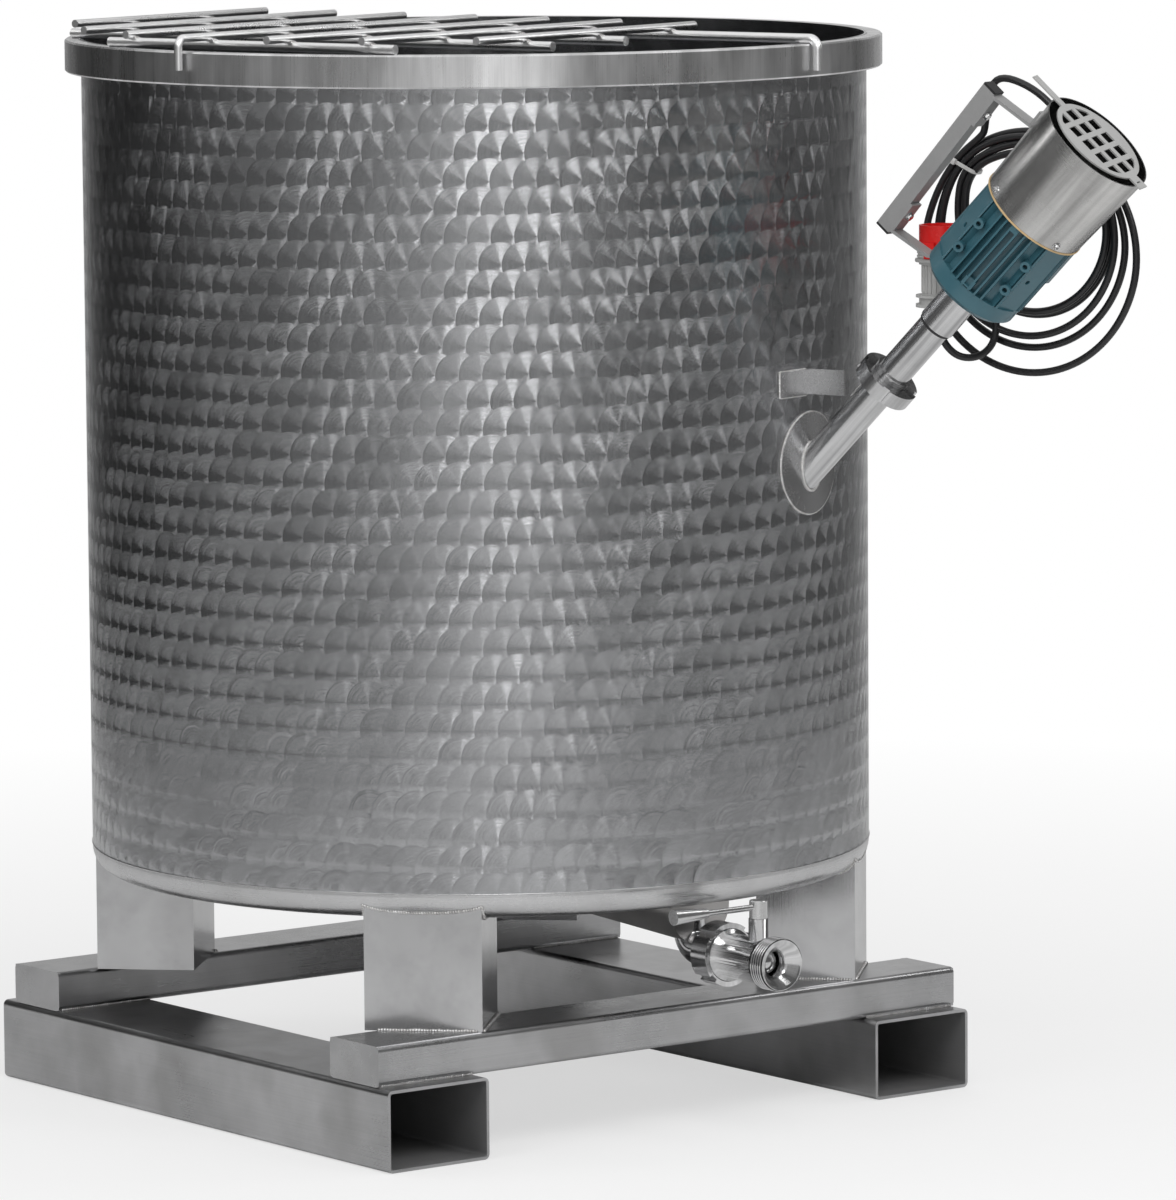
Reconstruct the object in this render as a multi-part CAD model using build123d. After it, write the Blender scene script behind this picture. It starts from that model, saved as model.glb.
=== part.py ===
from build123d import *
import math
import os

os.makedirs("parts", exist_ok=True)

# Mixing tank on a pallet frame, with a ball valve below and a mixer through its wall.
# Millimetres. Z is up and the floor is z = 0. The fork tubes run along Y and their open ends,
# with the drain valve, face -Y. The pieces are built about the tank's axis, and write() moves
# them so that the origin lies on the floor under the middle of the whole.
origin_shift_y = 193.5

# Tank
tank_d = 980.0  # outside diameter of the shell
wall_t = 2.5
seam_z = 318.0  # weld between the shell and the bottom head
shell_top_z = 1327.0
head_knuckle_r = 28.0
head_flange_h = 4.0
head_fall = 20.0  # how far the bottom falls from its knuckle to the middle
rim_w = 20.0
rim_h = 40.0
fit_gap = 0.3  # clearance between curved faces that are welded or fitted

# Pallet frame
fork_tube_w = 150.0
fork_tube_h = 100.0
fork_tube_len = 836.0
fork_tube_in = 114.5  # from the shell's outside to a fork tube's middle
cross_tube_w = 100.0
cross_tube_h = 50.0
cross_tube_inset = 3.5  # its end stands this far inside the fork tube's outer face
cross_tube_in = 73.0  # from the fork tubes' ends to a cross tube's middle
tube_wall = 4.0
tube_corner_r = 7.0
leg_w = 144.0
leg_d = 124.0
leg_in = 70.5  # from the shell's outside to a leg's middle
leg_wall = 4.0

# Drain
drain_pipe_d = 41.0
drain_pipe_wall = 1.5
drain_drop = 90.0  # from the head's weld down to the middle of the drain pipe
sump_r = 45.0
sump_wall = 2.5
sump_rise = 7.0  # from the middle of the drain pipe up to the sump's bottom at the outlet
sump_slope = 0.052
elbow_r = 24.0
nut_d = 78.0
nut_len = 22.0
# Places along the drain, inwards (in) or outwards (out) from the shell's outside
sump_end_in = 42.0
elbow_in = 62.0
nut_out = 6.0
stem_out = 72.0
valve_end_out = 117.0
nut_slots = 4
liner_len = 8.0
valve_body_d = 55.0
thread_d = 65.0
thread_len = 26.0
stem_d = 12.0
ball_d = 44.0
ball_bore = 32.0
boss_d = 24.0
lever_up = 66.0  # from the middle of the drain pipe
lever_len = 130.0

# Mixer: it crosses the wall at this bearing from -Y towards +X and rises at this angle
mixer_bearing = 19.5
mixer_rise = 45.5
mixer_z = 807.2
mixer_tube_d = 41.0
mixer_tube_wall = 1.5
pad_d = 124.0
pad_t = 2.5
collar_s = 156.0  # distances along the mixer's axis from the tank's wall
neck_s = 255.0
flange_s = 322.0
cowl_s = 454.0
cowl_top_s = 575.0
neck_d = 47.0
shaft_d = 16.0
shaft_tip = -520.0
flange_d = 127.0
fin_d = 131.0
core_d = 112.0
cowl_d0 = 137.0
cowl_d1 = 147.0
cowl_t = 1.5
gasket_t = 2.0
handle_s0 = 292.0
handle_s1 = 517.0
handle_off0 = 131.0
handle_off1 = 144.0
handle_w = 20.0

# Grille
grille_turn = 17.0
bar_d = 10.0
rod_d = 12.0
bar_pitch = 120.0
bar_first = -300.0
bar_count = 7
hooked_bar = 3
rod_places = (-450.0, -300.0, -150.0, 0.0)
grille_edge = 78.0  # the bars' right ends, from the middle rod
grille_edge_lean = 0.09
hook_drop = 38.0

# Places that follow from the sizes
tank_r = tank_d / 2
fork_tube_x = tank_r - fork_tube_in
cross_tube_len = 2 * (fork_tube_x + fork_tube_w / 2 - cross_tube_inset)
cross_tube_y = fork_tube_len / 2 - cross_tube_in
leg_r = tank_r - leg_in
drain_z = seam_z - drain_drop
sump_bottom_z = drain_z + sump_rise
sump_end_y = sump_end_in - tank_r
elbow_y = elbow_in - tank_r
nut_y = -tank_r - nut_out
stem_y = -tank_r - stem_out
valve_end_y = -tank_r - valve_end_out
lever_z = drain_z + lever_up


def write(name, shape):
    """Write one solid, or a group of solids, to its own STEP file."""
    placed = Pos(0, origin_shift_y, 0) * shape
    placed.label = name
    export_step(placed, f"parts/{name}.step")


def cord_path(points):
    """Return straight runs through the points, joined by arcs that suit the runs beside them."""
    spots = [Vector(*point) for point in points]
    runs = [end - start for start, end in zip(spots, spots[1:])]
    radii = []
    for before, after in zip(runs, runs[1:]):
        half_turn = math.radians(before.get_angle(after)) / 2
        radii.append(0.45 * min(before.length, after.length) / math.tan(half_turn))
    print("cord radii", [round(radius) for radius in radii])
    return FilletPolyline(*spots, radius=radii)


def round_bar(start, end, diameter):
    """Return a round bar between two points."""
    start = Vector(*start)
    along = Vector(*end) - start
    plane = Plane(origin=start, z_dir=along.normalized())
    return plane * extrude(Circle(diameter / 2), along.length)


def box_tube(length, width, height, wall, corner):
    """Return a rectangular hollow section along Y, standing on z = 0, and centred on x and y."""
    outer = RectangleRounded(width, height, corner)
    inner = RectangleRounded(width - 2 * wall, height - 2 * wall, corner - wall + 0.5)
    section = Plane.XZ * (outer - inner)
    return Pos(0, 0, height / 2) * extrude(section, length / 2, both=True)


def ring(r_in, r_out, z0, z1):
    """Return a plain ring about the Z axis."""
    return Pos(0, 0, z0) * extrude(Circle(r_out) - Circle(r_in), z1 - z0)


# Frame
fork_tube = box_tube(fork_tube_len, fork_tube_w, fork_tube_h, tube_wall, tube_corner_r)
write("fork_tube_left", Pos(-fork_tube_x, 0, 0) * fork_tube)
write("fork_tube_right", Pos(fork_tube_x, 0, 0) * fork_tube)

cross_tube = box_tube(cross_tube_len, cross_tube_w, cross_tube_h, tube_wall, tube_corner_r)
for end in (-1, 1):
    cap = Pos(0, end * (cross_tube_len / 2 - tube_wall / 2), cross_tube_h / 2)
    cross_tube += cap * Box(cross_tube_w - 2, tube_wall, cross_tube_h - 2)
cross_tube = Rot(0, 0, 90) * cross_tube
write("cross_tube_front", Pos(0, -cross_tube_y, fork_tube_h) * cross_tube)
write("cross_tube_rear", Pos(0, cross_tube_y, fork_tube_h) * cross_tube)
frame_top = fork_tube_h + cross_tube_h


# Bottom head: a shallow cone with a rolled knuckle and a short straight flange
def head_profile(offset):
    """Return the head's outline as a closed half section, moved inwards by offset."""
    r_out = tank_r - offset
    r_knuckle = head_knuckle_r - offset
    z_centre = seam_z - head_flange_h
    fall = math.atan(head_fall / (tank_r - head_knuckle_r))
    x_centre = tank_r - head_knuckle_r
    tangent = (x_centre + r_knuckle * math.sin(fall), z_centre - r_knuckle * math.cos(fall))
    mid = math.radians(-45) + fall / 2
    through = (x_centre + r_knuckle * math.cos(mid), z_centre + r_knuckle * math.sin(mid))
    tip = (0, tangent[1] - tangent[0] * math.tan(fall))
    with BuildLine(Plane.XZ) as line:
        Polyline((0, seam_z + 1), (r_out, seam_z + 1), (r_out, z_centre))
        ThreePointArc((r_out, z_centre), through, tangent)
        Polyline(tangent, tip, (0, seam_z + 1))
    return make_face(line.line)


head_full = revolve(head_profile(0), Axis.Z)
head_inside = revolve(head_profile(wall_t), Axis.Z)
above_seam = Pos(0, 0, seam_z + 50) * Cylinder(tank_r + 20, 100)
head = head_full - head_inside - above_seam

# Sump: a sloping half-round channel under the head, which falls to the outlet
slope_angle = math.degrees(math.atan(sump_slope))
channel_len = -sump_end_y - 10
channel_axis = Pos(0, sump_end_y, sump_bottom_z + sump_r) * Rot(slope_angle, 0, 0)


def channel(radius, start):
    """Return a cylinder along the sump's axis that begins start mm from its closed end."""
    body = Rot(-90, 0, 0) * Cylinder(radius, channel_len, align=(Align.CENTER, Align.CENTER, Align.MIN))
    return channel_axis * (Pos(0, start, 0) * body)


liner_y = nut_y + nut_len / 2 - fit_gap
sump_inside = channel(sump_r - sump_wall, sump_wall)
head_grown = revolve(head_profile(-fit_gap), Axis.Z)
sump = channel(sump_r, 0) - sump_inside - head_grown - above_seam
head = head - channel(sump_r - sump_wall, sump_wall)

# Outlet elbow from the sump to the drain union
elbow_path = FilletPolyline(
    (0, elbow_y, drain_z + 40),
    (0, elbow_y, drain_z),
    (0, liner_y - liner_len, drain_z),
    radius=elbow_r,
)
elbow_start = Plane(origin=(0, elbow_y, drain_z + 40), z_dir=(0, 0, -1))
elbow_outer = sweep(elbow_start * Circle(drain_pipe_d / 2), elbow_path)
elbow_bore = sweep(elbow_start * Circle(drain_pipe_d / 2 - drain_pipe_wall), elbow_path)
elbow_grown = sweep(elbow_start * Circle(drain_pipe_d / 2 + fit_gap), elbow_path)
sump = sump - elbow_grown
elbow = elbow_outer - elbow_bore - sump_inside - head_grown
elbow = elbow - (Pos(0, sump_end_y + 60, drain_z + 60) * Box(200, 120 - 2 * sump_wall, 60))
write("sump_channel", sump.solids().sort_by(SortBy.VOLUME)[-1])
write("bottom_head", head.solids().sort_by(SortBy.VOLUME)[-1])

liner = Plane.XZ * (Circle(thread_d / 2) - Circle(drain_pipe_d / 2 - drain_pipe_wall))
liner = Pos(0, liner_y, drain_z) * extrude(liner, liner_len)
elbow = elbow.solids().sort_by(SortBy.VOLUME)[-1] + liner
write("outlet_elbow", elbow)

# Union nut: a round nut with slots for a hook spanner
nut = Plane.XZ * (Circle(nut_d / 2) - Circle(thread_d / 2 + fit_gap))
nut = Pos(0, nut_y + nut_len / 2, drain_z) * extrude(nut, nut_len)
nut_lip = Plane.XZ * (Circle(nut_d / 2) - Circle(drain_pipe_d / 2 + 4))
nut += Pos(0, nut_y + 18, drain_z) * extrude(nut_lip, 18 - nut_len / 2)
for slot in range(nut_slots):
    turn = Rot(0, slot * 360 / nut_slots + 45, 0)
    nut -= Pos(0, nut_y, drain_z) * turn * Pos(0, 0, nut_d / 2) * Box(10, 60, 8)
write("union_nut", nut)

# Legs, coped to the head
leg_section = Rectangle(leg_d, leg_w) - Rectangle(leg_d - 2 * leg_wall, leg_w - 2 * leg_wall)
leg = Pos(leg_r, 0, frame_top) * extrude(leg_section, 160)
leg = leg - head_grown - (Pos(0, 0, seam_z - 10 + 50) * Cylinder(tank_r + 60, 100))
for label, bearing in (("rear_right", 45), ("rear_left", 135), ("front_left", 225), ("front_right", 315)):
    write(f"leg_{label}", Rot(0, 0, bearing) * leg)

# Mixer axis
bearing = math.radians(mixer_bearing)
rise = math.radians(mixer_rise)
mixer_origin = Vector(tank_r * math.sin(bearing), -tank_r * math.cos(bearing), mixer_z)
mixer_dir = Vector(
    math.sin(bearing) * math.cos(rise), -math.cos(bearing) * math.cos(rise), math.sin(rise)
)
mixer_side = Vector(math.cos(bearing), math.sin(bearing), 0)
mixer_plane = Plane(origin=mixer_origin, x_dir=mixer_side, z_dir=mixer_dir)
radial_plane = Plane(
    origin=mixer_origin, x_dir=mixer_side, z_dir=(math.sin(bearing), -math.cos(bearing), 0)
)

# Shell and rim
shell = ring(tank_r - wall_t, tank_r, seam_z, shell_top_z)
sleeve_hole = mixer_plane * Pos(0, 0, -80) * extrude(Circle(mixer_tube_d / 2 + fit_gap), 200)
shell = shell - sleeve_hole
write("tank_shell", shell)

rim = ring(tank_r + fit_gap, tank_r + rim_w, shell_top_z - rim_h, shell_top_z)
rim = chamfer(rim.edges().filter_by(GeomType.CIRCLE), 2)
write("rim_tube", rim)

# Wall pad round the sleeve
pad_blank = ring(tank_r + fit_gap, tank_r + pad_t, mixer_z - 150, mixer_z + 150)
pad_cut = radial_plane * Pos(0, 7, -60) * extrude(Circle(pad_d / 2), 120)
pad = (pad_blank & pad_cut) - sleeve_hole
write("wall_pad", pad)

# Sleeve through the wall, up to the collar
sleeve_in = -45.0
sleeve = Circle(mixer_tube_d / 2) - Circle(mixer_tube_d / 2 - mixer_tube_wall)
sleeve = Pos(0, 0, sleeve_in) * extrude(sleeve, collar_s - 6 - sleeve_in)
sleeve += Pos(0, 0, collar_s - 12) * extrude(
    Circle(thread_d / 2) - Circle(mixer_tube_d / 2 - mixer_tube_wall), 12
)
write("mixer_sleeve", mixer_plane * sleeve)

collar = Circle(nut_d / 2) - Circle(thread_d / 2 + fit_gap)
collar = Pos(0, 0, collar_s - 9) * extrude(collar, 19)
collar += Pos(0, 0, collar_s + 6.3) * extrude(
    Circle(nut_d / 2) - Circle(mixer_tube_d / 2 + 4), 3.7
)
for slot in range(nut_slots):
    turn = Rot(0, 0, slot * 360 / nut_slots + 30)
    collar -= turn * Pos(nut_d / 2, 0, collar_s) * Box(8, 10, 60)
write("sleeve_nut", mixer_plane * collar)

# Brace strap: along the wall, then out to the sleeve
strap_z = 914.0 - mixer_z
strap_h = 31.0
strap_len = 50.0
strap = Pos(0, strap_z, strap_len / 2) * Box(3, strap_h, strap_len)
strap = radial_plane * strap
strap_cut = mixer_plane * Pos(0, 0, -80) * extrude(Circle(mixer_tube_d / 2 + fit_gap), 400)
strap_leg = ring(tank_r + fit_gap, tank_r + 3, mixer_z + strap_z - strap_h / 2, mixer_z + strap_z + strap_h / 2)
strap_leg = strap_leg & (radial_plane * Pos(-32, strap_z, 0) * Box(64, 60, 120))
strap = strap - (Pos(0, 0, mixer_z + 100) * Cylinder(tank_r + fit_gap, 200))
strap = strap - (mixer_plane * Pos(0, -100, 100) * Box(60, 200, 400)) - strap_cut
strap = strap + strap_leg
write("brace_strap", strap.solids().sort_by(SortBy.VOLUME)[-1])

# Mixer tube with its ferrule, from the collar to the neck, and on into the tank
tube_r = mixer_tube_d / 2
upper_tube = Circle(tube_r) - Circle(tube_r - mixer_tube_wall)
upper_tube = Pos(0, 0, collar_s) * extrude(upper_tube, neck_s - collar_s)
upper_tube += Pos(0, 0, collar_s + 0.3) * extrude(Circle(27) - Circle(tube_r - mixer_tube_wall), 5.7)
upper_tube += Pos(0, 0, collar_s + 6) * extrude(Circle(tube_r + 3.6) - Circle(tube_r - 1), 12)
write("mixer_tube", mixer_plane * upper_tube)

shaft = Pos(0, 0, shaft_tip) * extrude(Circle(shaft_d / 2), neck_s + 4 - shaft_tip)
write("mixer_shaft", mixer_plane * shaft)

blade_hub = Circle(14) - Circle(shaft_d / 2 + 0.1)
blade_hub = Pos(0, 0, shaft_tip) * extrude(blade_hub, 30)
propeller = blade_hub + [
    Rot(0, 0, turn * 120) * Pos(0, 40, shaft_tip + 15) * Rot(0, 35, 0) * Box(36, 56, 2.5)
    for turn in range(3)
]
propeller -= Pos(0, 0, shaft_tip) * extrude(Circle(shaft_d / 2 + 0.1), 30)
write("propeller", mixer_plane * propeller)

# Neck and seal
seal = Pos(0, 0, neck_s) * extrude(Circle(tube_r + 1.5) - Circle(shaft_d / 2 + fit_gap), 4)
write("neck_seal", mixer_plane * seal)
neck = Circle(neck_d / 2) - Circle(12)
neck = Pos(0, 0, neck_s + 4) * extrude(neck, flange_s - neck_s - 4)
write("motor_neck", mixer_plane * neck)

# Motor housing: an end bell, then a finned body. Two faces have long fins between rows of
# screw bosses, four smooth pads stand beside them, and short groups of fins fill what is left.
motor_turn = 15.3
bell_h = 26.0
fins_s = flange_s + bell_h
fins_len = cowl_s - gasket_t - fins_s
fin_t = 2.6
fin_pitch = 9.6
boss_row = 38.0
boss_d_motor = 13.0
boss_hole_d = 6.4
boss_places = (376.5, 416.5)
pad_angle = 57.5
pad_w_motor = 40.0
pad_face = 60.5
bell = Pos(0, 0, flange_s) * extrude(Circle(flange_d / 2), bell_h)
bell = chamfer(bell.edges().group_by(Axis.Z)[0], 6)
sections = Circle(core_d / 2)
for face_turn in (90, 270):
    for row in range(6):
        fin_at = (row - 2.5) * fin_pitch
        sections += Rot(0, 0, face_turn) * Pos(fin_at, fin_d / 4) * Rectangle(fin_t, fin_d / 2)
    for side in (-1, 1):
        rail = Pos(side * (boss_row + 6), fin_d / 4) * Rectangle(fin_t, fin_d / 2)
        sections += Rot(0, 0, face_turn) * rail
        pad = Pos(0, pad_face / 2) * Rectangle(pad_w_motor, pad_face)
        sections += Rot(0, 0, face_turn + side * pad_angle) * pad
for face_turn in (0, 180):
    for row in range(3):
        fin_at = (row - 1) * fin_pitch
        sections += Rot(0, 0, face_turn) * Pos(fin_at, fin_d / 4) * Rectangle(fin_t, fin_d / 2)
sections = sections & Circle(fin_d / 2)
housing = bell + Pos(0, 0, fins_s) * extrude(sections, fins_len)
motor_boss_top = math.sqrt((fin_d / 2) ** 2 - (boss_row - boss_d_motor / 2) ** 2) - 2
for face_turn in (90, 270):
    for side in (-1, 1):
        for place in boss_places:
            boss_plane = Rot(0, 0, face_turn) * Pos(side * boss_row, 0, place) * Rot(-90, 0, 0)
            housing += boss_plane * extrude(Circle(boss_d_motor / 2), motor_boss_top)
            housing -= boss_plane * Pos(0, 0, motor_boss_top - 9) * extrude(Circle(boss_hole_d / 2), 30)
        pad_plane = Rot(0, 0, face_turn + side * pad_angle) * Pos(0, 0, 394) * Rot(-90, 0, 0)
        housing -= pad_plane * Pos(0, 0, pad_face - 8) * extrude(Circle(boss_hole_d / 2), 30)
    lug = Rot(0, 0, face_turn) * Pos(0, 57, 356) * Box(15, 17, 12)
    lug -= Rot(0, 0, face_turn) * Pos(0, 65.5, 358) * Box(7, 8, 12)
    housing += lug
    housing += Rot(0, 0, face_turn) * Pos(0, 57, 446.5) * Box(10, 17, 8)
write("motor_housing", mixer_plane * Rot(0, 0, motor_turn) * housing)

cowl_gasket = Pos(0, 0, cowl_s - gasket_t) * extrude(Circle(cowl_d0 / 2 + 0.8), gasket_t)
write("cowl_gasket", mixer_plane * cowl_gasket)

# Fan cowl, slightly wider at the top
with BuildPart() as cowl_build:
    with BuildSketch(Plane.XZ):
        with BuildLine():
            Polyline(
                (cowl_d0 / 2 - cowl_t, cowl_s),
                (cowl_d0 / 2, cowl_s),
                (cowl_d1 / 2, cowl_top_s),
                (cowl_d1 / 2 - cowl_t, cowl_top_s),
                close=True,
            )
        make_face()
    revolve(axis=Axis.Z)
write("fan_cowl", mixer_plane * cowl_build.part)

# Cooling fan, under the cowl
fan = Pos(0, 0, cowl_s + 10) * extrude(Circle(18) - Circle(7.3), 24)
fan += Pos(0, 0, cowl_s + 10) * extrude(Circle(60) - Circle(7.3), 2)
for blade in range(7):
    fan += Rot(0, 0, blade * 360 / 7) * Pos(38, 0, cowl_s + 22) * Box(42, 2, 24)
write("cooling_fan", mixer_plane * fan)
fan_shaft = Pos(0, 0, cowl_s) * extrude(Circle(7), 36)
write("fan_shaft", mixer_plane * fan_shaft)

# Cover plate in the cowl's mouth: slots in rows, a tab on one side and a long arm on the other
cover_d = 122.0
cover_t = 2.0
slot_rows = 3
slot_columns = 5
slot_pitch_u = 27.0
slot_pitch_v = 22.0
slot_u = 18.5
slot_v = 15.0
rim_web = 7.0
slots = Sketch()
for column in range(slot_columns):
    for row in range(slot_rows):
        slot_at = Pos((row - 1) * slot_pitch_u, (column - 2) * slot_pitch_v)
        slots += slot_at * Rectangle(slot_u, slot_v)
slots = slots & Circle(cover_d / 2 - rim_web)
cover = Circle(cover_d / 2) - slots
cover += Pos(0, -(cover_d + cowl_d1) / 4 - 1) * Rectangle(20, (cowl_d1 - cover_d) / 2 + 8)
cover -= Pos(0, -cowl_d1 / 2 + 4) * Rectangle(9, 2)
arm_end = 110.0
arm_start = cover_d / 2 - 4
cover += Pos(0, (arm_start + arm_end) / 2) * Rectangle(12, arm_end - arm_start)
cover_plate = Pos(0, 0, cowl_top_s) * extrude(cover, cover_t)
write("cowl_cover", mixer_plane * Rot(0, 0, 8) * cover_plate)

# Handle
bar_vec_start = mixer_plane.from_local_coords(Vector(0, handle_off0, handle_s0))
bar_vec_end = mixer_plane.from_local_coords(Vector(0, handle_off1, handle_s1))
bar_dir = (bar_vec_end - bar_vec_start).normalized()
bar_len = (bar_vec_end - bar_vec_start).length
handle_plane = Plane(origin=bar_vec_start, x_dir=mixer_side, z_dir=bar_dir)
bar_section = Rectangle(handle_w, handle_w) - Rectangle(handle_w - 3, handle_w - 3)
write("handle_bar", handle_plane * extrude(bar_section, bar_len))
cap_low = Pos(0, 0, -3) * Box(handle_w, handle_w, 3, align=(Align.CENTER, Align.CENTER, Align.MIN))
cap_high = Pos(0, 0, bar_len) * Box(handle_w, handle_w, 3, align=(Align.CENTER, Align.CENTER, Align.MIN))
write("handle_caps", Compound([handle_plane * cap_low, handle_plane * cap_high]))


def bent_bracket(points, width, thickness):
    """Return a flat bar bent through points, each (offset, distance) in the mixer's upright plane."""
    sides = ([], [])
    knots = [Vector(*point) for point in points]
    runs = [(end - start).normalized() for start, end in zip(knots, knots[1:])]
    for i, here in enumerate(knots):
        before = runs[max(i - 1, 0)]
        after = runs[min(i, len(runs) - 1)]
        mean = (before + after).normalized()
        normal = Vector(-mean.Y, mean.X, 0)
        reach = thickness / 2 / mean.dot(before)
        sides[0].append(here + normal * reach)
        sides[1].append(here - normal * reach)
    outline = [(corner.X, corner.Y) for corner in sides[0] + sides[1][::-1]]
    section = Plane.YZ * make_face(Polyline(*outline, close=True))
    return mixer_plane * extrude(section, width / 2, both=True)


def under_bar(distance):
    """Return the point, distance mm along the handle, where a bracket's middle lies under it."""
    lean = math.atan2(handle_off1 - handle_off0, handle_s1 - handle_s0)
    drop = handle_w / 2 + fit_gap + bracket_t / 2
    offset = handle_off0 + distance * math.sin(lean) - drop * math.cos(lean)
    return (offset, handle_s0 + distance * math.cos(lean) + drop * math.sin(lean))


bracket_t = 4.0
bracket_w = 22.0
flange_face = flange_s - fit_gap - bracket_t / 2
bracket_low = bent_bracket(
    [under_bar(48), under_bar(5), (64, flange_face - 8), (54, flange_face), (32, flange_face)],
    bracket_w,
    bracket_t,
)
write("handle_bracket_lower", bracket_low)
cowl_lean = (cowl_d1 - cowl_d0) / 2 / (cowl_top_s - cowl_s)


def on_cowl(distance):
    """Return the point at this distance along the mixer where a bracket's middle lies on the cowl."""
    radius = cowl_d0 / 2 + (distance - cowl_s) * cowl_lean
    return (radius + fit_gap + bracket_t / 2, distance)


bracket_high = bent_bracket(
    [under_bar(bar_len - 48), under_bar(bar_len - 3), on_cowl(527), on_cowl(549)],
    bracket_w,
    bracket_t,
)
write("handle_bracket_upper", bracket_high)

# Terminal box on the motor's far side, with a cable gland
box_side = 74.0
box_height = 40.0
box_s = 396.0
box_x = fin_d / 2 + fit_gap + box_height / 2
terminal_box = Pos(box_x, 0, box_s) * Box(box_height, box_side, box_side)
terminal_box = chamfer(terminal_box.edges().group_by(Axis.X)[-1], 4)
gland_hole = Pos(box_x, 0, box_s + box_side / 2 - 8) * extrude(Circle(9), 20)
terminal_box -= gland_hole
write("terminal_box", mixer_plane * terminal_box)
cable_d = 9.0
gland_top_s = box_s + box_side / 2 + 22
gland = Pos(box_x, 0, box_s + box_side / 2 - 8) * extrude(Circle(9 - fit_gap), 30)
gland = chamfer(gland.edges().group_by(Axis.Z)[-1], 2.5)
gland += Pos(box_x, 0, box_s + box_side / 2 + fit_gap) * extrude(RegularPolygon(12, 6), 10)
write("cable_gland", mixer_plane * gland)

# Plug of the cable, standing upright beside the mixer
plug_d = 58.0
plug_wall = 3.0
plug_neck_d = 26.0
plug_neck_len = 17.0
plug_face = plug_neck_len + 58  # where the pins and the shroud begin
plug_shroud_len = 42.0
plug_x = 60.0
plug_out = 154.0
plug_z = 990.0


def beside(x, out, z):
    """Return a point from its distance to the mixer's far side, outwards from the wall, and height."""
    foot = Vector(mixer_origin.X, mixer_origin.Y, 0) + mixer_side * x
    outwards = Vector(math.sin(bearing), -math.cos(bearing), 0)
    return foot + outwards * out + Vector(0, 0, z)


plug_plane = Plane(origin=beside(plug_x, plug_out, plug_z), x_dir=mixer_side)
plug_body = Pos(0, 0, 0) * extrude(Circle(plug_neck_d / 2), plug_neck_len + 2)
plug_body += Pos(0, 0, plug_neck_len) * extrude(Circle(plug_d / 2 + 4), 4)
plug_body += Pos(0, 0, plug_neck_len + 4) * extrude(Circle(plug_d / 2), 8)
plug_body += Pos(0, 0, plug_neck_len + 12) * extrude(Circle(plug_d / 2 + 4), 3)
plug_body += Pos(0, 0, plug_neck_len + 15) * extrude(Circle(plug_d / 2 - 4), 37)
plug_body += Pos(0, 0, plug_face - 6) * extrude(Circle(plug_d / 2), 6)
for pin in range(5):
    pin_at = Rot(0, 0, pin * 72) * Pos(14, 0, plug_face)
    plug_body += pin_at * extrude(Circle(2.5), 30)
write("plug_body", plug_plane * plug_body)
plug_shroud = Circle(plug_d / 2) - Circle(plug_d / 2 - plug_wall)
plug_shroud = Pos(0, 0, plug_face) * extrude(plug_shroud, plug_shroud_len)
plug_key = Box(8, 14, 20, align=(Align.CENTER, Align.CENTER, Align.MIN))
plug_shroud += Pos(-plug_d / 2 - 1, 0, plug_face + 2) * plug_key
plug_shroud -= Pos(0, 0, plug_face) * extrude(Circle(plug_d / 2 - plug_wall), plug_shroud_len)
write("plug_shroud", plug_plane * plug_shroud)

# Ball valve
body_start = liner_y - liner_len
valve_len = body_start - valve_end_y
body_solid = extrude(Circle(valve_body_d / 2), valve_len)
body_solid += Pos(0, 0, valve_len - thread_len) * extrude(Circle(thread_d / 2), thread_len)
body_solid += extrude(Circle(thread_d / 2 - 0.5), 17)
bore_d = drain_pipe_d - 2 * drain_pipe_wall
ball_at = body_start - stem_y
body_solid -= extrude(Circle(ball_bore / 2), valve_len)
body_solid -= Pos(0, 0, ball_at) * Sphere(ball_d / 2 + 1)
body_solid -= Pos(0, 0, valve_len - 12) * extrude(Circle(bore_d / 2), 12)
valve_plane = Plane(origin=(0, body_start, drain_z), x_dir=(1, 0, 0), z_dir=(0, -1, 0))
valve_body = valve_plane * body_solid
valve_boss_top = lever_z - 14
boss = Pos(0, stem_y, drain_z) * extrude(Circle(boss_d / 2), valve_boss_top - drain_z)
boss = boss - (valve_plane * extrude(Circle(valve_body_d / 2 - 3), valve_len))
valve_body += boss
valve_body -= Pos(0, stem_y, drain_z) * extrude(Circle(stem_d / 2 + fit_gap), 80)
write("valve_body", valve_body)

ball = Pos(0, stem_y, drain_z) * Sphere(ball_d / 2)
ball -= Pos(0, stem_y, drain_z) * Rot(0, 90, 0) * Cylinder(ball_bore / 2, 100)
ball += Pos(0, stem_y, drain_z + 18) * extrude(Circle(stem_d / 2), valve_boss_top - drain_z - 18)
write("valve_ball", ball)

hub = Pos(0, stem_y, valve_boss_top + fit_gap) * extrude(Circle(boss_d / 2 - 1), 22)
hub = chamfer(hub.edges().group_by(Axis.Z)[-1], 1)
lever = hub + round_bar((0, stem_y, lever_z), (-lever_len + 48, stem_y, lever_z), 7.5)
grip = Plane(origin=(-lever_len + 50, stem_y, lever_z), z_dir=(-1, 0, 0)) * Cone(
    6, 9.5, 50, align=(Align.CENTER, Align.CENTER, Align.MIN)
)
lever += grip
write("valve_lever", lever)

# Grille: bars welded across rods, with two hooks over the rim
bar_z = shell_top_z + rod_d + bar_d / 2 - 1.0
rod_z = shell_top_z + rod_d / 2
grille_angle = math.radians(grille_turn)
across = Vector(math.cos(grille_angle), math.sin(grille_angle), 0)
along = Vector(-math.sin(grille_angle), math.cos(grille_angle), 0)
hook_r = tank_r + rim_w + rod_d / 2 + 2
rest_r = tank_r + rim_w / 2  # the bars and rods end over the middle of the rim


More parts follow.
